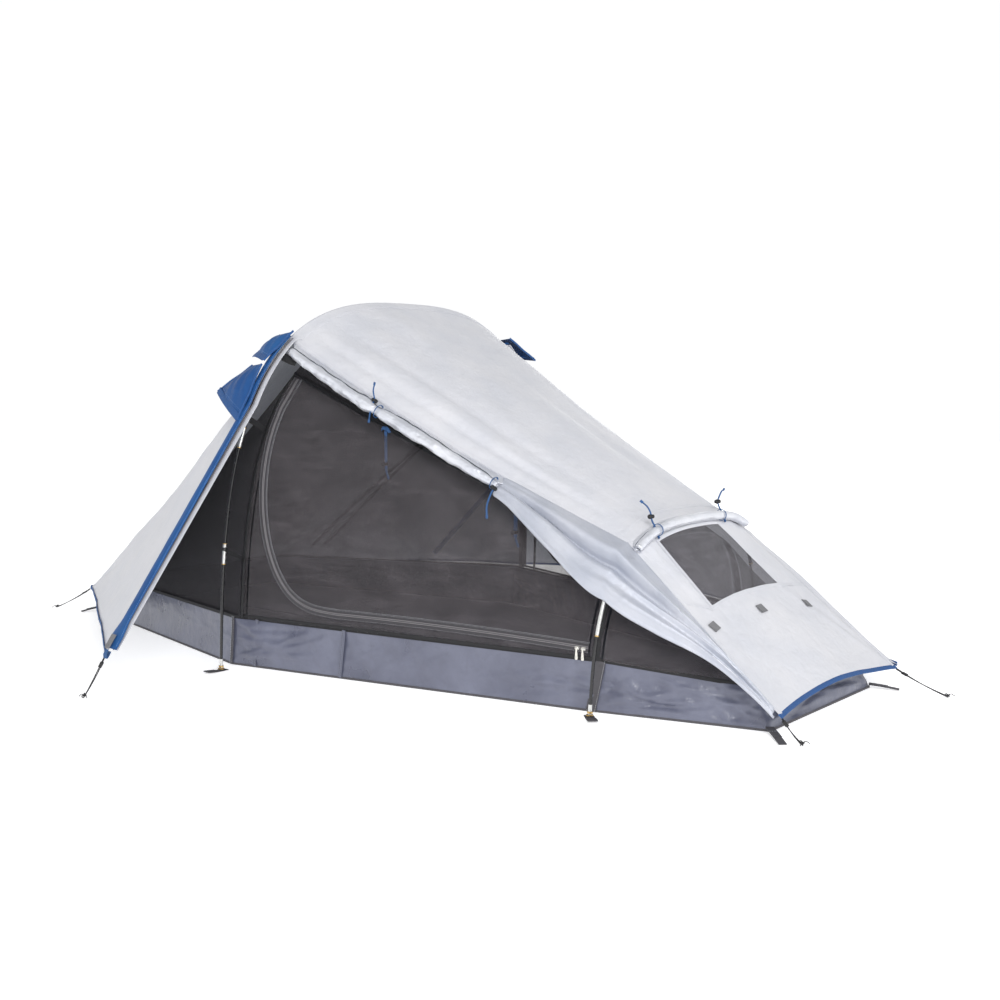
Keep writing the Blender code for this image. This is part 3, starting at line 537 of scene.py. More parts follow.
def front_edge(w, sign, outset=OUT):
    w = np.asarray(w, float)
    on = hoop(FRONT, turn_of(mix(SHOULDER, LEAVE, np.clip(w / W_LEAVE, 0, 1)), sign), outset)
    leave = hoop(FRONT, turn_of(LEAVE, sign), outset)
    off = mix(leave, peg(sign), np.clip((w - W_LEAVE) / (1 - W_LEAVE), 0, 1)[..., None])
    return np.where((w < W_LEAVE)[..., None], on, off)


def panel_share(u, v):
    u, v = np.broadcast_arrays(np.asarray(u, float), np.asarray(v, float))
    return u, v, mix(SHOULDER, PI - SHOULDER, u)


def roof(u, v):
    u, v, angle = panel_share(u, v)
    p = mix(hoop(FRONT, angle, OUT), hoop(REAR, angle, OUT), v[..., None])
    sag = mix(mix(0.026, 0.040, u), 0.010, bow(u)) * bow(v)
    return p - sag[..., None] * UP


def tail(u, v):
    u, v, angle = panel_share(u, v)
    hem = mix(tail_corner(-1), tail_corner(1), u[..., None]) + bow(u)[..., None] * vec(-0.022, 0, 0.020)
    return mix(hoop(REAR, angle, OUT), hem, v[..., None])


def upper_edge(v, sign):
    """Where a fly door joins the roof and then the tail."""
    v = np.asarray(v, float)
    u = 0.0 if sign < 0 else 1.0
    return np.where((v < V_TAIL)[..., None], roof(u, np.clip(v / V_TAIL, 0, 1)),
                    tail(u, np.clip((v - V_TAIL) / (1 - V_TAIL), 0, 1)))


def side(along, down, sign, lift=0.0):
    """Side wall of the inner tent: along 0 front to 1 rear, down 0 top seam to 1 tub wall."""
    along, down = np.asarray(along, float), np.asarray(down, float)
    ends = [hoop(h, turn_of(mix(SEAM_ANGLE, angle_at(h, wall[3] + 0.002), down), sign), lift)
            for h, wall in ((INNER_FRONT, WALL[1]), (INNER_REAR, WALL[2]))]
    return mix(ends[0], ends[1], along[..., None])


DOOR = (0.020, 0.965)        # where the netting door starts and ends along the side wall
DOOR_CURVE, DOOR_LOW = 0.30, (0.962, 0.925)


def door_bottom(along):
    along = np.asarray(along, float)
    straight = mix(*DOOR_LOW, (along - DOOR_CURVE) / (DOOR[1] - DOOR_CURVE))
    reach = np.clip((DOOR_CURVE - along) / (DOOR_CURVE - DOOR[0]), 0, 1)
    return np.where(along >= DOOR_CURVE, straight, DOOR_LOW[0] * (1 - reach ** 3.4) ** (1 / 3.4))


# ---- guy lines ---------------------------------------------------------------------------------
GUYS = {
    "guy_line_nose_near": ((-1.133, -0.404, 0.074), (-1.249, -0.467, 0.004)),
    "guy_line_nose_far": ((-1.133, 0.404, 0.074), (-1.249, 0.467, 0.004)),
    "guy_line_peg_near": ((-0.030, -1.064, 0.094), (-0.020, -1.133, 0.004)),
    "guy_line_peg_far": ((-0.030, 1.064, 0.094), (-0.020, 1.133, 0.004)),
    "guy_line_tail_near": ((1.546, -0.338, 0.052), (1.601, -0.348, 0.004)),
    "guy_line_tail_far": ((1.546, 0.310, 0.052), (1.693, 0.290, 0.004)),
}


def guy(name, top, ground):
    """A doubled thin cord from a fly corner down to a knot on the ground, with its runner."""
    top, ground = np.array(top), np.array(ground)
    t = span(25)[:, None]
    line = mix(top, ground, t) - vec(0, 0, 0.004) * bow(t)
    _, across, up = frames(line)
    strands = []
    for start in (0, PI):
        twist = start + t * 2.2
        strands.append(sweep(line + (across * np.cos(twist) + up * np.sin(twist)) * 0.0014, 0.0013, facets=8))
    rope = piece(name + "_cord", strands, "cord", stands_for=[name])
    ahead, side_way = unit(ground - top), unit(np.cross(ground - top, UP))
    lift = np.cross(side_way, ahead)
    turn = span(40, 0, 2 * PI)
    loops = np.stack([np.sin(turn) + 2 * np.sin(2 * turn), np.cos(turn) - 2 * np.cos(2 * turn),
                      -np.sin(3 * turn)], -1)
    middle = ground + vec(0, 0, 0.0035)
    knot = [sweep(middle + loops @ np.stack([ahead, side_way, lift * 0.8]) * 0.0021, 0.0014, facets=8)]
    for s, reach in ((-1, 0.020), (1, 0.014)):
        way = unit(ahead * vec(1, 1, 0) * 0.6 + side_way * s)
        loose = curve([middle, middle + way * reach * 0.5 + UP * 0.003, middle + way * reach - UP * 0.003], 8)
        knot.append(sweep(loose, 0.0010, facets=7))
    tied = piece(name + "_knot", knot, "cord")
    runner = moulded(name + "_runner", mix(top, ground, 0.17) - UP * 0.002, (ahead, side_way, lift),
                     (0.017, 0.0085, 0.0055), "plastic", 0.55)


for guy_name, (guy_top, guy_ground) in GUYS.items():
    guy(guy_name, guy_top, guy_ground)


# ---- poles --------------------------------------------------------------------------------------
TUBE_RADIUS, POLE_STEPS, POLE_END = 0.00425, 1400, 0.006


def pole(name, h, sections, ferrule=(0.030, 0.030)):
    """Black tube sections with silver ferrules that reach down and up from each joint, and brass rings."""
    line = evenly(hoop(h, span(2001, 0, PI)), POLE_STEPS)
    total = steps_of(line)[-1]
    joints = span(sections + 1, POLE_END, total - POLE_END)
    normal = unit(vec(1, 0, -h[1]))

    def tube(a, b, n, radius):
        at = line[np.clip((span(n, a, b) / total * POLE_STEPS).astype(int), 0, POLE_STEPS)]
        return sweep(at, radius, side=normal, facets=18)

    def sleeve(joint):
        return ferrule if joint < sections / 2 else ferrule[::-1]

    for k in range(sections):
        last = k == sections - 1
        a = joints[k] + (sleeve(k)[1] if k else 0.0)
        b = joints[k + 1] - (0.0 if last else sleeve(k + 1)[0])
        piece(f"{name}_tube_{k + 1}", [tube(a, b, 40, TUBE_RADIUS)], "pole",
              stands_for=[f"{name}_pole_section_{k + 1}"])
        if not last:
            radii = np.interp(span(12), [0, 0.03, 0.06, 0.94, 0.97, 1],
                              [0.0046, 0.0054, 0.0056, 0.0056, 0.0054, 0.0046])
            low, high = joints[k + 1] - sleeve(k + 1)[0], joints[k + 1] + sleeve(k + 1)[1]
            piece(f"{name}_ferrule_{k + 1}", tube(low, high, 12, radii), "steel")
            piece(f"{name}_ferrule_ring_{k + 1}",
                  [tube(c - 0.0012, c + 0.0012, 4, 0.0060) for c in (low + 0.0015, high - 0.0015)], "brass")
    for end, tag in ((0, "near"), (1, "far")):
        for part, a, b, n, radius, material in (("tip", 0.0065, 0.034, 6, 0.0050, "steel"),
                                                ("tip_ring", 0.012, 0.0165, 4, 0.0072, "brass")):
            a, b = (total - b, total - a) if end else (a, b)
            piece(f"{name}_{part}_{tag}", tube(a, b, n, radius), material)


pole("front", FRONT, 9)
pole("rear", REAR, 5, (0.092, 0.010))
for node in ("front_shock_cord", "rear_shock_cord"):
    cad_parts[node].data.materials.clear()
    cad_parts[node].data.materials.append(MATERIALS["elastic"])


def foot_tab(name, h, sign, splay):
    """Grey webbing folded into a loop, stitched across, with the pole pin through a plate."""
    foot = hoop(h, 0.0 if sign < 0 else PI)
    out = vec(math.sin(splay), sign * math.cos(splay), 0)
    across = vec(math.cos(splay), -sign * math.sin(splay), 0)

    def reach(t):
        return foot + out * mix(-0.018, 0.050, t)

    t = span(13)
    line = reach(t[:, None]) + UP * (0.0012 + 0.003 * ease((t - 0.5) * 2))[:, None]
    back = line[::-1] + UP * 0.0022
    loop = curve([*line[[0, 4, 8, 12]], line[-1] + out * 0.003 + UP * 0.0015, *back[[0, 3, 6]]], 30)
    rod(name + "_webbing", loop, 0.0125, "web", 0.0008, across, square=0.35, stands_for=[name])
    for k in (0.25, 0.45):
        p = reach(k) + UP * 0.0058
        row = [p + across * a for a in (-0.010, 0, 0.010)]
        stitches(f"{name}_stitch_{int(k * 100)}", row, UP, "dark_thread")
    rod(name + "_grommet", circle(foot + UP * 0.0062, out, across, 0.0078, 28), 0.0016, "brass")
    pin = [foot + UP * 0.002, foot + UP * 0.012, hoop(h, turn_of(0.028, sign))]
    rod(name + "_pin", pin, 0.0019, "steel", facets=10)


for tag, sign in SIDES.items():
    foot_tab(f"front_foot_tab_{tag}", FRONT, sign, 0.0)
    foot_tab(f"rear_foot_tab_{tag}", REAR, sign, math.radians(45))


# ---- flysheet: nose, roof, tail and closed far door as one sewn skin --------------------------------
def edge_mask(n, m, rows=(True, True), cols=(True, True), soft=0.12):
    """1 over a grid, fading to 0 at the edges that are held."""
    a, b = span(n)[:, None], span(m)[None]
    out = np.ones((n, m))
    for held, t in ((rows[0], a), (rows[1], 1 - a), (cols[0], b), (cols[1], 1 - b)):
        if held:
            out = out * ease(t / soft)
    return out


def near_dense(n):
    """Parameters from 0 to 1, packed near both ends so that seams turn crisply."""
    close = 0.010
    return np.concatenate([[0, close / 3], span(n - 4, close, 1 - close), [1 - close / 3, 1]])


def shaped(grid, mask, folds):
    """Moves a grid's points along its normals by the sum of folds times the mask."""
    return grid + normals(grid) * (mask * sum(folds))[..., None]


def creases(grid, rows):
    return [crease(grid, *row) for row in rows]


ACROSS = span(73)
ROOF_V = near_dense(70)
roof_grid = roof(ACROSS[None], ROOF_V[:, None])
roof_folds = [ripple(roof_grid, 0.45, 3, (3, 1, 1)) * 0.0045,
              ripple(roof_grid, 0.14, 4, (3.5, 1, 1)) * 0.0012]
roof_folds += creases(roof_grid, (
    ((0.05, -0.35, 0.98), (0.75, -0.30, 0.63), 0.022, 0.006),
    ((0.06, -0.12, 1.05), (0.80, -0.25, 0.62), 0.030, 0.005),
    ((0.06, 0.10, 1.05), (0.95, 0.02, 0.56), 0.030, -0.005),
    ((0.08, 0.30, 1.0), (0.95, 0.12, 0.53), 0.028, 0.005),
    ((0.30, -0.42, 0.80), (1.10, -0.38, 0.43), 0.020, -0.006)))
for u, slant, width, depth in (   # long folds beside the near edge and over the ridge
        (0.045, 0.02, 0.012, 0.0035), (0.085, 0.03, 0.014, -0.0040), (0.135, 0.02, 0.020, 0.0045),
        (0.20, 0.05, 0.030, -0.0050), (0.42, 0.10, 0.050, 0.0060), (0.62, -0.06, 0.045, -0.0050),
        (0.80, -0.03, 0.040, 0.0050)):
    roof_folds.append(depth * np.exp(-((ACROSS[None] - u - slant * ROOF_V[:, None]) / width) ** 2)
                      * ease(ROOF_V / 0.15)[:, None] * ease((1 - ROOF_V) / 0.35)[:, None])
roof_grid = shaped(roof_grid, edge_mask(*roof_grid.shape[:2]), roof_folds)

TAIL_V = near_dense(64)
tail_grid = tail(ACROSS[None], TAIL_V[:, None])
tail_folds = [ripple(tail_grid, 0.30, 7, (2, 1, 1)) * 0.0022,
              ripple(tail_grid, 0.10, 8, (1.6, 1, 1)) * 0.0007]
for s, spreads in ((-1, (0.10, 0.25, 0.42, 0.60)), (1, (0.90, 0.78, 0.62))):
    tail_folds += [crease(tail_grid, tail_corner(s), tail(u, 0.55 - 0.08 * k), 0.010, 0.003 * (-1) ** k)
                   for k, u in enumerate(spreads)]
for k, u in enumerate((0.10, 0.18, 0.75, 0.85)):
    tail_folds.append(crease(tail_grid, tail(u, 0.02), tail(u * 0.9 + 0.05, 0.6), 0.012, 0.0025 * (-1) ** k))
tail_grid = shaped(tail_grid, edge_mask(*tail_grid.shape[:2], rows=(True, False)), tail_folds)

# the window in the tail: v at its top and bottom, u of its near and far edge at each
WINDOW_TOP, WINDOW_END = 0.08, 0.47
WINDOW_U = ((0.19, 0.165), (0.60, 0.69))


def window_edge_u(v):
    t = (v - WINDOW_TOP) / (WINDOW_END - WINDOW_TOP)
    return tuple(mix(*edge, t) for edge in WINDOW_U)


def on_tail(us, vs):
    """Points of the creased tail surface at any u and v."""
    i = np.interp(vs, TAIL_V, np.arange(len(TAIL_V)))
    j = np.asarray(us) * (len(ACROSS) - 1)
    i, j = np.broadcast_arrays(i, j)
    i0, j0 = np.clip(i.astype(int), 0, len(TAIL_V) - 2), np.clip(j.astype(int), 0, len(ACROSS) - 2)
    a, b = (i - i0)[..., None], (j - j0)[..., None]
    g = tail_grid
    return mix(mix(g[i0, j0], g[i0 + 1, j0], a), mix(g[i0, j0 + 1], g[i0 + 1, j0 + 1], a), b)


def tail_panels():
    """The tail as cells round the window: grid lines are bent to run along its edges."""
    near, middle = 15, 40
    far = len(ACROSS) - near - middle
    v_lines = np.concatenate([TAIL_V[TAIL_V < WINDOW_TOP - 0.002], span(26, WINDOW_TOP, WINDOW_END),
                              TAIL_V[TAIL_V > WINDOW_END + 0.005]])
    rows = []
    for v in v_lines:
        a, b = window_edge_u(np.clip(v, WINDOW_TOP, WINDOW_END))
        fade = ease(np.clip(max(WINDOW_TOP - v, v - WINDOW_END) / (0.07 if v < WINDOW_TOP else 0.4), 0, 1))
        a, b = mix(a, ACROSS[near], fade), mix(b, ACROSS[near + middle], fade)
        us = np.concatenate([span(near + 1, 0, a), span(middle + 1, a, b)[1:], span(far, b, 1)[1:]])
        rows.append(on_tail(ACROSS if v == v_lines[0] else us, np.full(len(ACROSS), v)))
    grid = np.array(rows)
    inside = (v_lines[:-1] >= WINDOW_TOP - 0.0001) & (v_lines[1:] <= WINDOW_END + 0.0001)
    keep = np.ones((len(grid) - 1, grid.shape[1] - 1), bool)
    keep[np.ix_(inside, range(near, near + middle))] = False
    return grid, keep


# nose: from one peg corner over the front hoop to the other
N_SIDE, N_SHOULDER = 22, 10
w_side = np.linspace(1, W_LEAVE, N_SIDE, endpoint=False)
w_shoulder = np.linspace(W_LEAVE, 0, N_SHOULDER, endpoint=False)
rail = np.vstack([front_edge(w_side, -1), front_edge(w_shoulder, -1), roof_grid[0],
                  front_edge(w_shoulder, 1)[::-1], front_edge(w_side, 1)[::-1]])
t_side = 1 - (w_side - W_LEAVE) / (1 - W_LEAVE)
near_part = np.stack([NOSE[0] + 0.025 * (1 - t_side), -NOSE[1] - 0.012 * (1 - t_side),
                      np.full(N_SIDE, NOSE[2])], -1)
shoulder = mix(SHOULDER, LEAVE, w_shoulder / W_LEAVE)
angles = np.concatenate([shoulder, mix(SHOULDER, PI - SHOULDER, ACROSS), PI - shoulder[::-1]])
t_top = (angles - LEAVE) / (PI - 2 * LEAVE)
top_part = np.stack([NOSE[0] + 0.02 * bow(t_top), mix(-NOSE[1], NOSE[1], t_top),
                     NOSE[2] + 0.012 * bow(t_top)], -1)
nose_rail = np.vstack([near_part, top_part, (near_part * vec(1, -1, 1))[::-1]])
rising = np.concatenate([1 - t_side, np.zeros(len(angles)), (1 - t_side)[::-1]])
NOSE_V = np.concatenate([[0, 0.004], span(62, 0.012, 1)])
nose_grid = mix(rail[None], nose_rail[None], NOSE_V[:, None, None])
nose_grid[..., 2] += 0.020 * bow(NOSE_V)[:, None] * rising[None] ** 3
nose_folds = [ripple(nose_grid, 0.40, 12, (2.6, 1, 1)) * 0.0024,
              ripple(nose_grid, 0.12, 13, (3, 1, 1)) * 0.0014]
nose_lines = (((0.02, -0.58, 0.80), (-1.10, -0.40, 0.10)), ((0.03, -0.50, 0.90), (-1.12, -0.38, 0.10)),
              ((0.03, -0.35, 0.99), (-1.12, -0.36, 0.10)), ((0.03, 0.22, 1.03), (-1.12, 0.30, 0.12)),
              ((0.0, 0.98, 0.17), (-0.55, 0.45, 0.45)), ((-1.12, 0.40, 0.09), (-0.30, 0.60, 0.40)),
              ((0.0, -0.98, 0.17), (-0.55, -0.45, 0.45)), ((-1.12, -0.40, 0.09), (-0.30, -0.60, 0.40)),
              ((0.02, 0.58, 0.80), (-1.10, 0.40, 0.10)), ((0.05, 0.2, 1.0), (-1.0, 0.15, 0.17)),
              ((0.05, -0.2, 1.0), (-1.0, -0.15, 0.17)))
nose_folds += [crease(nose_grid, a, b, 0.018, (0.003 if k < 3 else 0.008) * (-1) ** k)
               for k, (a, b) in enumerate(nose_lines)]
nose_held = edge_mask(*nose_grid.shape[:2], rows=(True, False), cols=(False, False), soft=0.10)
nose_grid = shaped(nose_grid, nose_held, nose_folds)

# closed far door
DOOR_V = near_dense(62)
w_door = np.concatenate([span(N_SHOULDER + 1, 0, W_LEAVE), span(N_SIDE + 1, W_LEAVE, 1)[1:]])
hem = mix(peg(1), tail_corner(1) + vec(0, 0.02, 0), DOOR_V[:, None])
hem[:, 2] += 0.035 * bow(DOOR_V)
pull = front_edge(w_door, 1) - mix(front_edge(0.0, 1), peg(1), w_door[:, None])
far_door = (mix(upper_edge(DOOR_V * 0.985, 1)[:, None], hem[:, None], w_door[None, :, None])
            + pull[None] * ((1 - DOOR_V) ** 2)[:, None, None]
            + (bow(DOOR_V)[:, None] * bow(w_door)[None] * 0.055)[..., None] * vec(0, 0.8, 0.6))
far_folds = [ripple(far_door, 0.34, 21, (1, 1, 2.4)) * 0.0065,
             ripple(far_door, 0.12, 22, (1, 1, 2.4)) * 0.0015]
far_folds += [crease(far_door, upper_edge(0.66, 1), mix(peg(1), tail_corner(1), t), 0.018, 0.007 * (-1) ** k)
              for k, t in enumerate((0.15, 0.35, 0.55, 0.75))]
far_door = shaped(far_door, edge_mask(*far_door.shape[:2], cols=(True, False)), far_folds)

cloth("fly_skin", [surface(roof_grid), surface(*tail_panels()), surface(nose_grid), surface(far_door)],
      "fly", 0.0009, ("stretched", "front_tube_5", "rear_tube_3"), "fly_inner", weld=True,
      stands_for=["fly_roof_panel", "fly_tail_panel", "fly_nose_panel", "fly_door_far"])


# ---- seams, hems and bindings on the fly --------------------------------------------------------------
SEAM_LIFT = 0.0006


def seam(name, line, lift, across, width=0.012, material="fly", thread="thread", rows=(-0.0032, 0.0032)):
    """A flat felled seam: a narrow raised strip with two rows of stitching."""
    line, lift = np.array(line), unit(np.broadcast_to(lift, np.shape(line)))
    across = unit(np.broadcast_to(across, np.shape(line)))
    raised = line + lift * SEAM_LIFT
    rod(name, raised, width / 2, material, 0.0006, across, square=0.5)
    for k, shift in enumerate(rows):
        stitches(f"{name}_thread_{k + 1}", raised + across * shift + lift * SEAM_LIFT, lift, thread)


def grid_line(grid, i=None, j=None):
    """A row or column of a grid with its outward normals and the way across it."""
    n = normals(grid)
    if i is not None:
        return grid[i], n[i], unit(np.gradient(grid, axis=0))[i]
    return grid[:, j], n[:, j], unit(np.gradient(grid, axis=1))[:, j]


for name, grid, row in (("front_hoop_seam", roof_grid, 3), ("nose_hoop_seam", nose_grid, 3),
                        ("rear_hoop_seam", tail_grid, 3), ("roof_rear_seam", roof_grid, len(roof_grid) - 4)):
    seam(name, *(part[2:-2] for part in grid_line(grid, i=row)))
for name, grid, column in (("tail_near_seam", tail_grid, 1), ("tail_far_seam", tail_grid, -2),
                           ("roof_far_seam", roof_grid, -2), ("roof_near_seam", roof_grid, 1)):
    seam(name, *(part[1:-1] for part in grid_line(grid, j=column)))
for tag, us, at_u, at_v in (("near", span(16, 0.012, 0.155), (0, 0.16), (0.36, 0.478)),
                            ("far", span(30, 0.70, 0.985), (0.70, 1.0), (0.478, 0.44))):
    seam(f"tail_cross_seam_{tag}", on_tail(us, np.interp(us, at_u, at_v)), normals(tail_grid)[20, 30],
         vec(0.8, 0, -0.6), 0.009, rows=(-0.002, 0.002))

# window: netting pane, its sewn frame, and the rolled cover tied above it
pane_v = span(24, WINDOW_TOP, WINDOW_END)
pane_grid = np.array([on_tail(span(30, *window_edge_u(v)), np.full(30, v)) for v in pane_v])
pane_grid -= normals(pane_grid) * (0.0015 + 0.006 * bow(span(24))[:, None] * bow(span(30))[None])[..., None]
pane = piece("window_netting_pane", surface(pane_grid), "pane", stands_for=["window_mesh"], flip=True)
tail_up = unit(vec(0.68, 0, 0.73))
frame_edges = [(name, on_tail(span(30, *window_edge_u(v)), np.full(30, v)), vec(0.7, 0, -0.7))
               for name, v in (("top", WINDOW_TOP), ("bottom", WINDOW_END))]
frame_edges += [(name, on_tail(np.array([window_edge_u(v)[k] for v in pane_v]), pane_v), vec(0, 1, 0))
                for k, name in enumerate(SIDES)]
for name, line, across in frame_edges:
    seam(f"window_frame_{name}", line, tail_up, across, 0.010, rows=(-0.002, 0.002))


def rolled(name, centres, radius, turns, start, wave, seed, edge, stands_for):
    """Cloth rolled up along centres; edge is the sewn line that it comes from."""
    n, m = len(centres), int(40 * turns)
    ahead, _, _ = frames(centres)
    across = unit(np.cross(ahead, UP))
    up = np.cross(across, ahead)
    s, t = span(m)[None, :], span(n)[:, None]
    turn = start + s * turns * 2 * PI
    place = np.stack(np.broadcast_arrays(t * 14, np.cos(turn) * 0.9, np.sin(turn) * 0.9), -1)
    shape = 1 + wave * ripple(place, 1.5, seed) + wave * 0.55 * ripple(place, 0.6, seed + 1)
    r = np.broadcast_to(radius, n)[:, None] * mix(1.0, 0.42, s) * shape
    grid = (centres[:, None] + across[:, None] * (np.cos(turn) * r)[..., None]
            + up[:, None] * (np.sin(turn) * r)[..., None])
    lead = [mix(edge, grid[:, 0], k) - 0.004 * bow(k) * UP for k in span(8)[:-1]]
    grid = np.concatenate([np.stack(lead, 1), grid], 1)
    cloth(name, surface(grid), "roll", 0.0007, ("folded", "fly_skin"), "roll", stands_for=[stands_for])


cover = np.array([tail(u, 0.05) for u in span(60, -0.02, 0.93)]) + tail_up * 0.0150
cover[:, 2] += 0.0015 * np.sin(span(60, 0, 9))
cover_edge = tail(span(60, 0.03, 0.92), np.full(60, 0.012)) + tail_up * 0.002
rolled("window_cover_rolled", cover, 0.0135 * (0.85 + 0.15 * bow(span(60))), 2.3, PI * 0.8, 0.07, 31,
       cover_edge, "window_cover_roll")

# near door: a crumpled roll under the roof edge, then its loose end
t_roll = span(120)
under_roof = vec(0, 0.0062, 0.0022)
roll_edge = roof(np.zeros(120), mix(0.012, 0.690, t_roll)) + under_roof
roll_line = roof(np.zeros(120), mix(0.030, 0.665, t_roll)) + vec(0.004, -0.0265, -0.0185)
roll_line[:, 2] -= 0.003 * np.sin(t_roll * 7)
pinches = [1 - depth * np.exp(-((t_roll - at) / width) ** 2) for at, width, depth in (
    (0.44, 0.03, 0.30), (1.0, 0.05, 0.35))]              # where the toggles' tapes hold it
roll_radius = 0.0190 * (0.66 + 0.34 * bow(t_roll) ** 0.7) * pinches[0] * pinches[1]
rolled("near_door_rolled", roll_line, roll_radius, 2.6, PI * 0.62, 0.085, 41, roll_edge, "fly_door_near_roll")


def loose_end():
    """The unrolled end of the near door: long soft folds that meet at the tie and at the tail corner."""
    n, m = 130, 84
    turn_in, turn_radius = 0.16, 0.006       # the hem turns under over this share of the drop
    share = span(n)
    v = mix(0.466, 0.990, share)
    narrow = 1 - 0.80 * ease((share - 0.62) / 0.38)
    drop = (mix(0.030, 0.040, ease(share * 6)) + 0.074 * np.exp(-((share - 0.42) / 0.22) ** 2)) * narrow
    start = upper_edge(v, -1) + under_roof
    low = (upper_edge(v, -1) + vec(0, -0.014, -0.006) * narrow[:, None]
           + np.stack([0 * drop, -0.80 * drop, -drop], -1))
    down = unit(low - start)
    out = unit(np.cross(down, ALONG))
    out = np.where(out[:, 1:2] > 0, -out, out)
    open_up = bow(share) ** 0.6
    grid = np.zeros((n, m, 3))
    for k, s in enumerate(span(m, 0, 1.45)):
        if s > 1:
            turn = min((s - 1) / turn_in, 1) * PI
            back = max(s - 1 - turn_in, 0) / 0.29 * 0.30     # how far the hem runs back up
            p = low + down * math.sin(turn) * turn_radius - out * (1 - math.cos(turn)) * turn_radius
            grid[:, k] = p - down * (back * drop)[:, None]
            continue
        fold = (0.012 * np.sin(2 * PI * (1.55 * s - 0.45 * share + 0.10))
                + 0.006 * np.sin(2 * PI * (3.3 * s + 0.5 * share)))
        fold = fold * open_up * bow(min(s * 0.96 + 0.02, 1)) ** 0.7
        fold -= 0.013 * np.exp(-((s - 0.56 + 0.10 * share) / 0.045) ** 2) * bow(np.clip(share * 1.25, 0, 1))
        grid[:, k] = mix(start, low, s) + out * (0.030 * bow(s) * open_up + fold)[:, None]
    folds = [ripple(grid, 0.20, 51, (3, 1, 1)) * 0.0022, ripple(grid, 0.07, 52, (3, 1, 1)) * 0.0009]
    return shaped(grid, edge_mask(n, m, cols=(True, False)), folds)


loose_grid = loose_end()
# its outer face takes the darker, bluer copy of the fly cloth: painted shade
cloth("near_door_loose_end", surface(loose_grid), "painted_shade_silver", 0.0009, ("gathered", "fly_skin"), "roll",
      stands_for=["fly_door_near_skirt"])
hem_lift = normals(loose_grid)[3:-3, 52]
stitches("near_door_hem_thread", loose_grid[3:-3, 52] + hem_lift * 0.0008, hem_lift)


# ---- blue trim ----------------------------------------------------------------------------------------
def binding(name, line, width, thick=0.0016, side=None, body="tent"):
    rod(name, line, width, "binding", thick, side, facets=10, square=0.6, body=body)


line, _, across = grid_line(tail_grid, i=-1)
binding("tail_hem_binding", line + vec(0.0008, 0, -0.002), 0.0065, side=across)
for tag, column in (("near", 0), ("far", -1)):
    binding(f"nose_hem_binding_{tag}", nose_grid[1:, column] - UP * 0.001, 0.0060, side=UP)
binding("nose_end_binding", nose_grid[-1, 2:-2] - ALONG * 0.001, 0.0060, side=vec(0.3, 0, 1))
binding("far_door_hem_binding", far_door[1:-1, -1] + vec(0, 0.001, 0), 0.0060, side=UP)

for tag, sign in SIDES.items():
    w = span(90, 0.0, 0.985)
    centre = front_edge(w, sign, OUT + 0.006) + ALONG * 0.010
    out = unit(vec(0, sign * 0.75, 0.66))
    half = mix(0.0105, 0.0165, w) + 0.010 * ease((w - 0.90) / 0.06)
    a = span(11, -1, 1)[None]
    lift = 0.004 + 0.0035 * bow((a + 1) / 2) + 0.0008 * np.sin(w[:, None] * 60 + a * 2) * (1 - a ** 2)
    grid = centre[:, None] + (a * half[:, None])[..., None] * ALONG + lift[..., None] * out
    cloth(f"zip_flap_{tag}", surface(grid), "blue", 0.0012, ("laid", "fly_skin"),
          stands_for=[f"storm_flap_{tag}"])
    for k, column in enumerate((1, 9)):
        stitches(f"zip_flap_{tag}_thread_{k + 1}", grid[2:-1, column] + out * 0.0006, out, "blue_thread")
    opening = front_edge(w, sign, OUT + 0.001)
    facing = opening + vec(0.029, -sign * 0.003, 0)
    rod(f"door_facing_{tag}", facing, 0.0085, "fly", 0.0010, ALONG, square=0.5)
    rod(f"door_zip_coil_{tag}", opening + ALONG * 0.0205, 0.0022, "coil", 0.0016, ALONG)
    corner = peg(sign) + vec(0.010, sign * 0.003, 0.004)
    down = unit(corner - front_edge(0.85, sign))
    patch = corner - down * span(6, 0.012, 0.052)[:, None] + out * 0.0095
    rod(f"flap_patch_{tag}", patch, 0.0105, "hook_tape", 0.0009, ALONG, square=0.4)
    loop = curve([corner + down * a + out * b for a, b in (
        (-0.010, 0.006), (0.004, 0.004), (0.010, -0.004), (-0.010, -0.004))], 24)
    rod(f"peg_corner_loop_{tag}", loop, 0.0075, "blue_cord", 0.0009, ALONG, square=0.4)

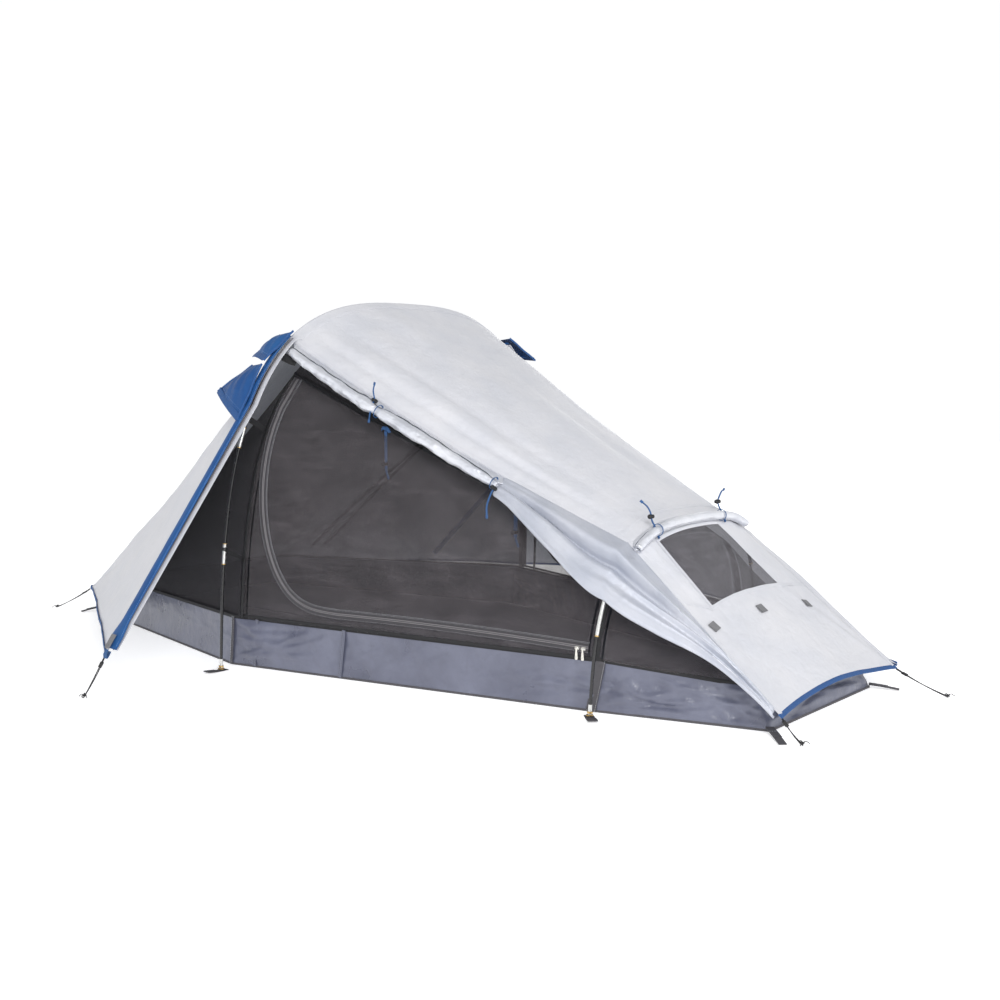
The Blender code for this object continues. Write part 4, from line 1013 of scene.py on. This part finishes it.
HOODS = {   # corners on the far side: top front, top back, bottom front, bottom back
    "lower": ((0.050, 0.586, 0.862), (-0.014, 0.566, 0.858), (0.042, 0.670, 0.706), (-0.115, 0.612, 0.784)),
    "upper": ((0.064, 0.480, 0.956), (-0.010, 0.466, 0.946), (0.064, 0.590, 0.872), (-0.066, 0.518, 0.886)),
}
for tag, sign in SIDES.items():
    for level, corners in HOODS.items():
        tf, tb, bf, bb = (vec(x, sign * y, z) for x, y, z in corners)
        if (tag, level) == ("far", "upper"):
            bf, tf = bf + vec(0.024, 0.020, 0.012), tf + vec(0.008, 0.008, 0.002)
        out = unit(np.cross(bf - tf, tb - tf))
        out = out if out[1] * sign > 0 else -out
        u, v = span(26)[None], span(26)[:, None]
        plane = mix(mix(tf, bf, v[..., None]), mix(tb, bb, v[..., None]), u[..., None])
        puff = 0.004 * bow(u) * v + 0.016 * bow(u) * bow(v) + 0.0012 * np.sin(u * 21 + v * 9) * bow(v)
        hood = plane + puff[..., None] * out
        body = f"vent_hood_{tag}_{level}"
        # the far side's hoods take the darker blue copy: painted shade
        cloth(body + "_cloth", surface(hood), "blue" if sign < 0 else "shaded_navy", 0.0010,
              ("stretched", f"zip_flap_{tag}"), body=body, stands_for=[body])
        rod(body + "_brim", hood[23:].mean(0) + out * 0.0018, 0.0100, "binding", 0.0016, unit(bf - tf),
            facets=10, square=0.5, body=body)
        stitches(body + "_brim_thread", hood[21, 1:-1] + out * 0.0012, out, "blue_thread", body=body)
        for edge, column in (("front", 0), ("back", -1)):
            binding(f"{body}_edge_{edge}", hood[:, column] + out * 0.0004, 0.0032, 0.0014, body=body)
        foot, top = mix(tb, tf, 0.4) - out * 0.004, hood[23, 13] - out * 0.006
        rod(body + "_strut", curve([mix(foot, top, 0.45), mix(foot, top, 0.8), top], 12), 0.0085, "hook_tape",
            0.0010, unit(np.cross(out, top - foot)), square=0.4, body=body)


# ---- ties, toggles and patches -------------------------------------------------------------------------
def toggle(node, ahead, tails, ring_centre, ring_radius, ring_way):
    """Cord lock with its button and spring end, on a blue tape that rings a roll, with loose tails."""
    c, ahead = centre_of(node), unit(np.array(ahead, float))
    radii = np.interp(span(15), [0, 0.07, 0.15, 0.6, 0.66, 0.72, 0.95, 1],
                      [0.0038, 0.0052, 0.0056, 0.0056, 0.0042, 0.0050, 0.0050, 0.0036])
    shapes = [sweep(span(15, -0.009, 0.009)[:, None] * ahead + c, radii, facets=16)]
    _, a, b = frames(np.array([c, c + ahead * 0.01]))
    for k in (-0.004, 0.001):
        shapes.append(sweep(circle(c + ahead * k, a[0], b[0], 0.0056, 20), 0.0007, facets=6))
    piece(node + "_lock", shapes, "plastic", stands_for=[node])
    loops = []
    for offsets in tails:
        path = curve([c, *(c + np.array(offsets))], 22)
        tip = path[-1] + unit(path[-1] - path[-3]) * 0.008
        loops += [sweep(path, 0.0024, 0.0013, facets=8),
                  sweep([path[-1], tip], 0.0034, 0.0016, facets=8, square=0.6)]
    _, a, b = frames(np.array([ring_centre, ring_centre + ring_way * 0.01]))
    loops.append(sweep(circle(ring_centre, a[0], b[0], ring_radius, 40), 0.0009, 0.0022, facets=8))
    piece(node + "_tape", loops, "blue_cord")


roll_way = unit(roll_line[60] - roll_line[40])
toggle("door_toggle_front", roll_way,
       [((0.002, -0.004, 0.012), (-0.002, -0.003, 0.026), (0.003, -0.004, 0.042)),
        ((0.0, -0.012, -0.014), (0.002, -0.020, -0.034), (0.0, -0.022, -0.052))],
       roll_line[53], 0.0185, roll_way)
toggle("door_toggle_rear", roll_way,
       [((-0.004, -0.010, -0.018), (-0.012, -0.014, -0.045), (-0.014, -0.012, -0.070))],
       roll_line[-3], 0.0165, roll_way)
cover_way = unit(cover[30] - cover[20])
for tag, k, upward in (("near", 14, [(0, -0.004, 0.012), (-0.004, -0.012, 0.026), (-0.012, -0.020, 0.036)]),
                       ("far", 41, [(0, 0.004, 0.008), (0.002, 0.016, 0.026), (0.0, 0.030, 0.030)])):
    downward = [(0.004, 0, -0.012), (0.014, 0.002, -0.030), (0.022, 0.0, -0.046)]
    toggle(f"window_toggle_{tag}", vec(0.2, 1, 0), [upward, downward], cover[k], 0.0150, cover_way)

for k, place in enumerate(((1.345, -0.306, 0.234), (1.343, -0.076, 0.236), (1.356, 0.152, 0.223))):
    nearest = np.argmin(np.linalg.norm(tail_grid.reshape(-1, 3) - vec(*place), axis=1))
    i, j = divmod(int(nearest), len(ACROSS))
    lift, across = normals(tail_grid)[i, j], unit(tail_grid[i, j + 3] - tail_grid[i, j - 3])
    down = unit(np.cross(across, lift))
    at = tail_grid[i, j] + lift * 0.0024
    name = f"window_patch_{k + 1}"
    rod(name, at + span(5, -0.0125, 0.0125)[:, None] * down, 0.0140, "hook_tape", 0.0009, across, square=0.25)
    for s, letter in ((-1, "a"), (1, "b")):
        corner = at + across * s * 0.0118 + lift * 0.001
        stitches(f"{name}_thread_{letter}", [corner + down * d for d in (-0.011, 0.011)], lift, "dark_thread")


# ---- inner tent: netting panels, seams and zips ------------------------------------------------------------
def net_sheet(name, shapes, material, body, node):
    """A single layer of netting that stands for a CAD node."""
    made = piece(name, shapes, material, body, [node], flip=True, sharp=180)


def net_panel(name, grid, node, slack, seed, material="net", body="tent"):
    """One layer of netting with slack and slanting tension lines."""
    n, m = grid.shape[:2]
    sag = slack * bow(span(n))[:, None] * bow(span(m))[None]
    folds = ripple(grid, 0.22, seed, (1, 1, 2.5)) * 0.0018 + ripple(grid, 0.08, seed + 1, (1, 1, 2)) * 0.0006
    grid = grid + normals(grid) * ((folds * edge_mask(n, m, soft=0.15)) - sag)[..., None]
    net_sheet(name, surface(grid), material, body, node)
    return grid


arch_v, arch_a = span(40, 0.003, 0.997)[:, None], span(50, SEAM_ANGLE + 0.012, PI - SEAM_ANGLE - 0.012)[None]
inner_roof = mix(hoop(INNER_FRONT, arch_a), hoop(INNER_REAR, arch_a), arch_v[..., None])
net_panel("inner_roof_netting", inner_roof, "inner_roof_mesh", 0.012, 61)


def inner_end(place, h, wall_z, end, toward, seed, material):
    """Netting from a hoop down to the tub's rim at the nose or the tail."""
    end_x, middle, half, end_z = end
    low = angle_at(h, wall_z + 0.002)
    t = span(70)
    arch = hoop(h, mix(low, PI - low, t)) + ALONG * toward * 0.002
    y = middle - half * np.sign(np.cos(PI * t)) * abs(np.cos(PI * t)) ** 0.35
    edge = np.stack([np.full(70, end_x), y, end_z + 0.001 + 0.003 * np.sin(PI * t) ** 0.5], -1)
    grid = mix(arch[None], edge[None], span(40, 0.003)[:, None, None])
    return net_panel(f"inner_{place}_netting", grid, f"inner_{place}_mesh", 0.010, seed, material)


# the nose netting takes the darker netting copy: painted shade
inner_nose = inner_end("nose", INNER_FRONT, WALL[1][3], WALL[0], -1, 63, "shaded_net")
inner_end("tail", INNER_REAR, WALL[2][3], WALL[3], 1, 65, "net")


def side_at(along, down, sign, lift=0.0):
    """One point of the inner tent's side wall."""
    return side(np.array([along]), np.array([down]), sign, lift)[0]


def side_netting(tag, sign):
    """The netting door, the netting round it, and the zip between them."""
    body = f"mesh_door_{tag}"
    curved = DOOR[0] + (DOOR_CURVE - DOOR[0]) * (1 - np.cos(span(30, 0.06, PI / 2)))
    columns = np.concatenate([curved, span(46, DOOR_CURVE, DOOR[1])[1:]])
    depth = door_bottom(columns)
    grid = side(columns[:, None], span(40, 0.008)[None] * depth[:, None], sign)
    net_panel(f"{body}_netting", grid, body, 0.004, 67, body=body)
    gap = 0.010 / 1.1        # 10 mm as a share of the side wall's length
    strip = side(span(4, 0.003, DOOR[0] - gap * 0.4)[:, None], span(50)[None], sign)
    sill_top = np.clip(depth + 0.012, 0, 0.99)[:, None]
    sill = side(columns[:, None], mix(sill_top, 1.0, span(8)[None]), sign)
    back = side(span(4, DOOR[1] + gap * 0.5, 0.997)[:, None], span(40)[None], sign)
    net_sheet(f"inner_side_{tag}_netting", [surface(g) for g in (strip, sill, back)], "net", "tent",
              f"inner_side_{tag}")

    edge_a, edge_d = np.concatenate([[DOOR[0]], columns]), np.concatenate([[0.01], depth])
    path = evenly(side(edge_a, edge_d, sign, 0.0006), 220)
    inward = unit(side_at(0.5, 0.45, sign) - path)
    ahead = unit(np.gradient(path, axis=0))
    inward = unit(inward - ahead * (inward * ahead).sum(-1, keepdims=True))
    lift = unit(np.cross(ahead, inward))
    lift = np.where((lift @ vec(0, sign * 0.95, 0.30))[:, None] > 0, lift, -lift)
    for part, rider, tape, width, coil in (("door", body, 0.0070, 0.012, 0.0012),
                                           ("wall", "tent", -0.0090, 0.010, -0.0028)):
        ribbon(f"zip_{tag}_{part}_tape", path + inward * tape + lift * 0.0008, lift, width, "tape", rider)
        rod(f"zip_{tag}_{part}_coil", path + inward * coil + lift * 0.0014, 0.0013, "coil", body=rider)
    for k, (shift, rider) in enumerate(((0.0095, body), (0.0125, body), (-0.0125, "tent"))):
        stitches(f"zip_{tag}_thread_{k + 1}", path + inward * shift + lift * 0.0012, lift, body=rider)


def side_seams(tag, sign):
    """Dark bound seams round the side wall."""
    t = span(60)
    for name, at, way, width in (("front", 0.004, -0.5, 0.028), ("rear", 0.985, 0.2, 0.020)):
        ribbon(f"inner_{name}_seam_{tag}", side(np.full(60, at), t, sign, 0.0018), vec(way, sign, 0.1), width,
               "black_web")
    top = side(t, np.zeros(60), sign, 0.0012) + vec(0, -sign * 0.0050, 0.0062)
    ribbon(f"inner_top_seam_{tag}", top, vec(0, sign * 0.6, 0.8), 0.009, "black_web")
    low = side(t, np.full(60, 0.996), sign, 0.0018)
    ribbon(f"inner_wall_seam_{tag}", low, vec(0, sign, 0), 0.008, "black_web")


def pole_straps(tag, sign):
    """Straps, clips and a tab from the front pole to the inner tent."""
    for k, z, width, clip_width in ((1, 0.71, 0.018, 0.0095), (2, 0.345, 0.012, 0.006)):
        on_pole = at_height(FRONT, z, sign)
        on_seam = at_height(INNER_FRONT, z - 0.035, sign, 0.002)
        way = unit(on_seam - on_pole)
        strap = mix(on_pole + way * 0.006, on_seam, span(12)[:, None])
        ribbon(f"pole_strap_{tag}_{k}", strap, vec(1, 0, 0.1), width, "black_web", thick=0.0008)
        rod(f"pole_clip_{tag}_{k}", circle(on_pole, ALONG, way, 0.0062, 24), clip_width, "plastic", 0.0011,
            unit(np.cross(way, ALONG)), square=0.5)
    tab = at_height(FRONT, 0.885, sign) + np.array([
        (0.012, 0, 0), (0.034, -sign * 0.010, -0.012), (0.052, -sign * 0.018, -0.018)])
    ribbon(f"pole_tab_{tag}", tab, vec(0.2, sign, 0.3), 0.024, "black_web", thick=0.0009)


def tie_back(name, body, sign, at_along, length, width):
    """Tape with a bow and a cord lock that holds the rolled netting door. It hangs from the top seam."""
    top = side_at(at_along, 0.03, sign, 0.004)
    lower = top + vec(0, -sign * 0.002, -1) * length
    bend = curve([top, mix(top, lower, 0.4) + vec(0.004, sign * 0.004, 0), mix(top, lower, 0.8), lower], 20)
    ribbon(f"{name}_strap", bend, vec(0.2, sign, 0.2), width, "blue_cord", body, 0.0007)
    for s, x in ((1, 0.0), (2, 0.012)):
        bow_line = curve([top + vec(-0.016 + x, 0, 0.004), top + vec(-0.002 + x, sign * 0.007, 0.010),
                          top + vec(0.016, 0, 0.002 - x * 0.4)], 12)
        ribbon(f"{name}_bow_{s}", bow_line, vec(0, sign, 0.3), 0.009, "blue_cord", body, 0.0007)
    lock = mix(top, lower, 0.86) + vec(0, sign * 0.005, 0)
    radii = np.interp(span(9), [0, 0.1, 0.6, 0.7, 1], [0.003, 0.0052, 0.0052, 0.0040, 0.0045])
    rod(f"{name}_lock", lock + span(9, -0.010, 0.010)[:, None] * vec(1, 0, 0.15), radii, "plastic", facets=14,
        body=body)
    end = curve([lower, lower + vec(0.004, 0, -0.012), lower + vec(0.012, sign * 0.002, -0.026)], 8)
    ribbon(f"{name}_tail", end, vec(0.2, sign, 0), 0.006, "blue_cord", body)


PULL_PROFILE = np.array([    # height above its centre, half width
    (0.0150, 0.0012), (0.0138, 0.0026), (0.0060, 0.0024), (0.0020, 0.0032), (-0.0105, 0.0044),
    (-0.0142, 0.0040), (-0.0152, 0.0022)])


def slider(tag, sign, number):
    """A zip slider with its bridge, and the pull that swings on it."""
    node, pull = f"zip_slider_{tag}_{number}", f"zip_pull_{tag}_{number}"
    c, p = centre_of(node), centre_of(pull)
    zip_way = unit(side_at(DOOR[1], DOOR_LOW[1], sign) - side_at(DOOR_CURVE, DOOR_LOW[0], sign))
    face = unit(np.cross(zip_way, UP))
    face = face if face[1] * sign > 0 else -face
    up = np.cross(zip_way, face)
    moulded(node + "_body", c, (zip_way, up, face), (0.0125, 0.0078, 0.0040), "enamel", 0.6, body=node,
            stands_for=[node])
    bridge = curve([c + zip_way * a + face * b for a, b in (
        (-0.0050, 0.0018), (-0.002, 0.0042), (0.003, 0.0042), (0.0052, 0.0018))], 12)
    rod(node + "_bridge", bridge, 0.0016, "steel", 0.0008, up, body=node)
    heights, widths = PULL_PROFILE.T
    rod(pull + "_tab", p + UP * heights[:, None], widths, "enamel", 0.0009, ALONG, facets=12, square=0.8,
        body=pull, stands_for=[pull])
    eye = circle(p - UP * 0.0085 + vec(0, sign * 0.0009, 0), ALONG, UP, 0.0019, 20)
    rod(pull + "_eye", eye, 0.0005, "steel", facets=6, body=pull)


for tag, sign in SIDES.items():
    side_netting(tag, sign)
    side_seams(tag, sign)
    pole_straps(tag, sign)
    tie_back(f"tie_back_{tag}_1", f"mesh_door_{tag}", sign, 0.315, 0.105, 0.009)
    tie_back(f"tie_back_{tag}_2", f"mesh_door_{tag}", sign, 0.700, 0.085, 0.011)
    slider(tag, sign, 1)
    slider(tag, sign, 2)

# two dark lines and a strap on the far flank of the nose netting: shares across at fixed shares down
for k, (ts, last) in enumerate((((0.722, 0.737, 0.759, 0.797, 0.880, 0.935), 0.80),
                                ((0.702, 0.714, 0.732, 0.762, 0.830, 0.925), 0.84))):
    rows = np.rint(np.array([0.02, 0.16, 0.335, 0.53, 0.73, last]) * (len(inner_nose) - 1))
    columns = np.rint(np.array(ts) * (inner_nose.shape[1] - 1))
    line = curve(inner_nose[rows.astype(int), columns.astype(int)], 60) + vec(0, 0.003, 0.002)
    ribbon(f"nose_flank_dark_line_{k + 1}", line, vec(-0.2, 1, 0.4), 0.011, "black_web")
strap = curve([(-0.065, 0.545, 0.425), (-0.150, 0.505, 0.320), (-0.250, 0.450, 0.190)], 24)
# the strap takes the darker blue copy: painted shade
ribbon("nose_flank_strap", strap, vec(-0.3, 1, 0.3), 0.016, "shaded_navy", thick=0.0008)


# ---- tub floor --------------------------------------------------------------------------------------------
SIDE_STEPS, HEAD_STEPS, FOOT_STEPS = [100, 150, 54], 60, 44
RING_STEPS = SIDE_STEPS + [FOOT_STEPS] + SIDE_STEPS[::-1] + [HEAD_STEPS]


def plan_point(row, sign, z=None):
    return vec(row[0], row[1] + sign * row[2], row[3] if z is None else z)


def plan_ring(plan):
    """A closed outline through a plan's corners: near side to the foot, far side back to the head."""
    corners = [plan_point(row, -1) for row in plan] + [plan_point(row, 1) for row in plan[::-1]]
    sides = zip(corners, corners[1:] + corners[:1], RING_STEPS)
    return np.array([mix(a, b, k / count) for a, b, count in sides for k in range(count)])


def closed(grid):
    """A grid with its first column repeated at its end."""
    return np.concatenate([grid, grid[:, :1]], 1)


low_ring, high_ring = plan_ring(FLOOR), plan_ring(WALL)
ring_n = len(low_ring)
t_wall = span(26)
wall = closed(mix(low_ring[None], high_ring[None], t_wall[:, None, None]))
wall[0, :, 2] += 0.0005                # keeps the lower edge off the ground
slant = wall + ALONG * 0.6 * wall[..., 2:]
wall_folds = ripple(slant, 0.16, 71, (1.0, 1.0, 2.2)) * 0.0030 + ripple(slant, 0.05, 72, (1, 1, 2.6)) * 0.0010
rng = np.random.default_rng(77)


def on_wall(at, low, high):
    """A random point of the wall's column at, between two shares of its height."""
    return mix(low_ring[at % ring_n], high_ring[at % ring_n], rng.uniform(low, high))


def wrinkle(a, b, widths, depths):
    return crease(wall, a, b, rng.uniform(*widths), rng.uniform(*depths) * rng.choice([-1, 1]))


for at in np.cumsum([0] + RING_STEPS[:-1]):
    for k in range(22):
        reach = int(rng.uniform(8, 46)) * (1 if k % 2 else -1)
        ends = on_wall(at, 0.05, 0.95), on_wall(at + reach, 0.05, 0.95)
        wall_folds = wall_folds + wrinkle(*ends, (0.004, 0.009), (0.0018, 0.0042))
for k in range(30):
    at = int(rng.uniform(0, ring_n))
    ends = on_wall(at, 0.1, 0.5), on_wall(at + 24, 0.4, 0.95)
    wall_folds = wall_folds + wrinkle(*ends, (0.005, 0.010), (0.0015, 0.0035))
along_fade = mix(0.25, 1.3, ease((wall[0, :, 0] + 0.12) / 0.14))       # the nose part is pulled smoother
fade = (ease(t_wall / 0.2) * ease((1 - t_wall) / 0.15))[:, None] * along_fade[None]
wall = wall + normals(wall) * (np.clip(wall_folds, -0.009, 0.009) * fade + 0.0016)[..., None]
spine = low_ring * vec(0.93, 0, 1) + vec(0.02, -0.02, 0)      # the middle line that the base closes on
spine[:, 0] = np.clip(spine[:, 0], -0.92, 1.32)
base = closed(mix(low_ring[None], spine[None], t_wall[:, None, None]))
swell = np.clip(ripple(base, 0.28, 75) * 0.0016 + ripple(base, 0.09, 76) * 0.0006, -0.0016, 0.004)
base[..., 2] = 0.0022 + swell * ease(t_wall * 5)[:, None]
cloth("tub_floor", [surface(wall), surface(base)], "floor", 0.0010, ("laid", "floor"), "floor_inner",
      stands_for=["floor_tub"])
rim, ground_line = (np.vstack([ring, ring[:1]]) for ring in (high_ring, low_ring))
out_ring = unit((rim - rim.mean(0)) * vec(1, 1, 0))
ribbon("tub_rim_binding", rim + out_ring * 0.0022 + UP * 0.001, out_ring, 0.010, "black_web")
ribbon("tub_base_seam", ground_line + out_ring * 0.0022 + UP * 0.0034, out_ring, 0.006, "web")


def corner_tape(name, row, sign, way, width):
    """Webbing up a corner of the tub's side, stitched along both edges."""
    out = unit(vec(way, sign, 0.05))
    base, tip = plan_point(FLOOR[row], sign, 0.004), plan_point(WALL[row], sign)
    line = mix(base, tip, span(14)[:, None]) + out * 0.0035
    ribbon(name + "_webbing", line, out, width, "web", thick=0.0009)
    for k, letter in ((0.002 - width / 2, "a"), (width / 2 - 0.002, "b")):
        stitches(f"{name}_thread_{letter}", line + ALONG * k + out * 0.001, out)


def corner_tab(name, row, sign, way, length):
    """A flat folded tab that runs out from a corner of the tub to its peg."""
    out = unit(vec(way, sign, 0.05))
    a = plan_point(FLOOR[row], sign, 0.004)
    end = a + out * vec(1, 1, 0) * length
    tab = curve([a + UP * 0.006, mix(a, end, 0.5) + UP * 0.003, end * vec(1, 1, 0) + UP * 0.0024], 16)
    across = np.cross(unit(end - a), UP)
    folds = [sweep(tab, 0.010, 0.0009, across, 8, 0.35),
             sweep(tab[:11] + UP * 0.0019, 0.010, 0.0008, across, 8, 0.35)]
    piece(name, folds, "web")
    stitches(name + "_thread", [tab[5] + across * k + UP * 0.0032 for k in (0.009, -0.009)], UP)


for tag, sign in SIDES.items():
    corner_tab(f"tub_head_{tag}_tab", 0, sign, -0.2, 0.056)
    corner_tape(f"tub_front_{tag}", 1, sign, -0.12, 0.012)
    corner_tape(f"tub_rear_{tag}", 2, sign, 0.1, 0.028)
    foot_way, foot_length = (0.95, 0.110) if tag == "near" else (3.0, 0.078)
    corner_tab(f"tub_foot_{tag}_tab", 3, sign, foot_way, foot_length)
    for k, t in enumerate((0.075, 0.335)):      # upright seams in the side wall
        a = mix(*(plan_point(row, sign, 0.004) for row in FLOOR[1:3]), t)
        b = mix(*(plan_point(row, sign) for row in WALL[1:3]), t)
        line = mix(a, b, span(14)[:, None]) + vec(0, sign * 0.0034, 0)
        seam(f"tub_wall_seam_{tag}_{k + 1}", line, vec(0, sign, 0), ALONG, 0.014, "floor", "dark_thread")


# ---- studio ----------------------------------------------------------------------------------------
scene = bpy.context.scene
world = bpy.data.worlds.new("studio")
world.use_nodes = True
sky = world.node_tree
parts, height, place = (sky.nodes.new(kind) for kind in (
    "ShaderNodeSeparateXYZ", "ShaderNodeMapRange", "ShaderNodeTexCoord"))
for key, value in (("From Min", 0.31), ("From Max", 0.90), ("To Min", 1.02), ("To Max", 0.36)):
    height.inputs[key].default_value = value
sky.links.new(place.outputs["Generated"], parts.inputs[0])
sky.links.new(parts.outputs["Z"], height.inputs["Value"])
sky.links.new(height.outputs[0], sky.nodes["Background"].inputs["Strength"])
sky.nodes["Background"].inputs["Color"].default_value = (0.985, 0.99, 1.0, 1)
scene.world = world
scene.view_settings.view_transform = "Standard"
for place, aim, size, power in (((3.8, -2.9, 3.0), (0.2, 0, 0.3), 2.4, 135),
                                ((-2.2, 4.0, 0.9), (0, 0, 0.4), 2.2, 30)):
    lamp = bpy.data.objects.new("softbox", bpy.data.lights.new("softbox", "AREA"))
    lamp.data.size = size
    lamp.data.energy = power
    lamp.location = place
    lamp.rotation_euler = (Vector(aim) - Vector(place)).to_track_quat("-Z", "Y").to_euler()
    scene.collection.objects.link(lamp)

FLOOR_RADIUS, FLOOR_Z, FLOOR_CORNERS = 14, -0.0006, 96
paper = Nodes("pale_paper")
paper_tone = paper.blend((0.93, 0.93, 0.93), (0.96, 0.96, 0.96), paper.noise(0.6, 2))
paper.finish(Base_Color=paper_tone, Roughness=0.9, Emission_Color=(1, 1, 1), Emission_Strength=0.52)
turns = np.linspace(0, 2 * PI, FLOOR_CORNERS, endpoint=False)
floor_mesh = bpy.data.meshes.new("floor")
floor_mesh.from_pydata([(FLOOR_RADIUS * math.cos(t), FLOOR_RADIUS * math.sin(t), FLOOR_Z) for t in turns], [],
                       [tuple(range(FLOOR_CORNERS))])
floor_mesh.materials.append(paper.material)
ground = bpy.data.objects.new("floor", floor_mesh)
scene.collection.objects.link(ground)
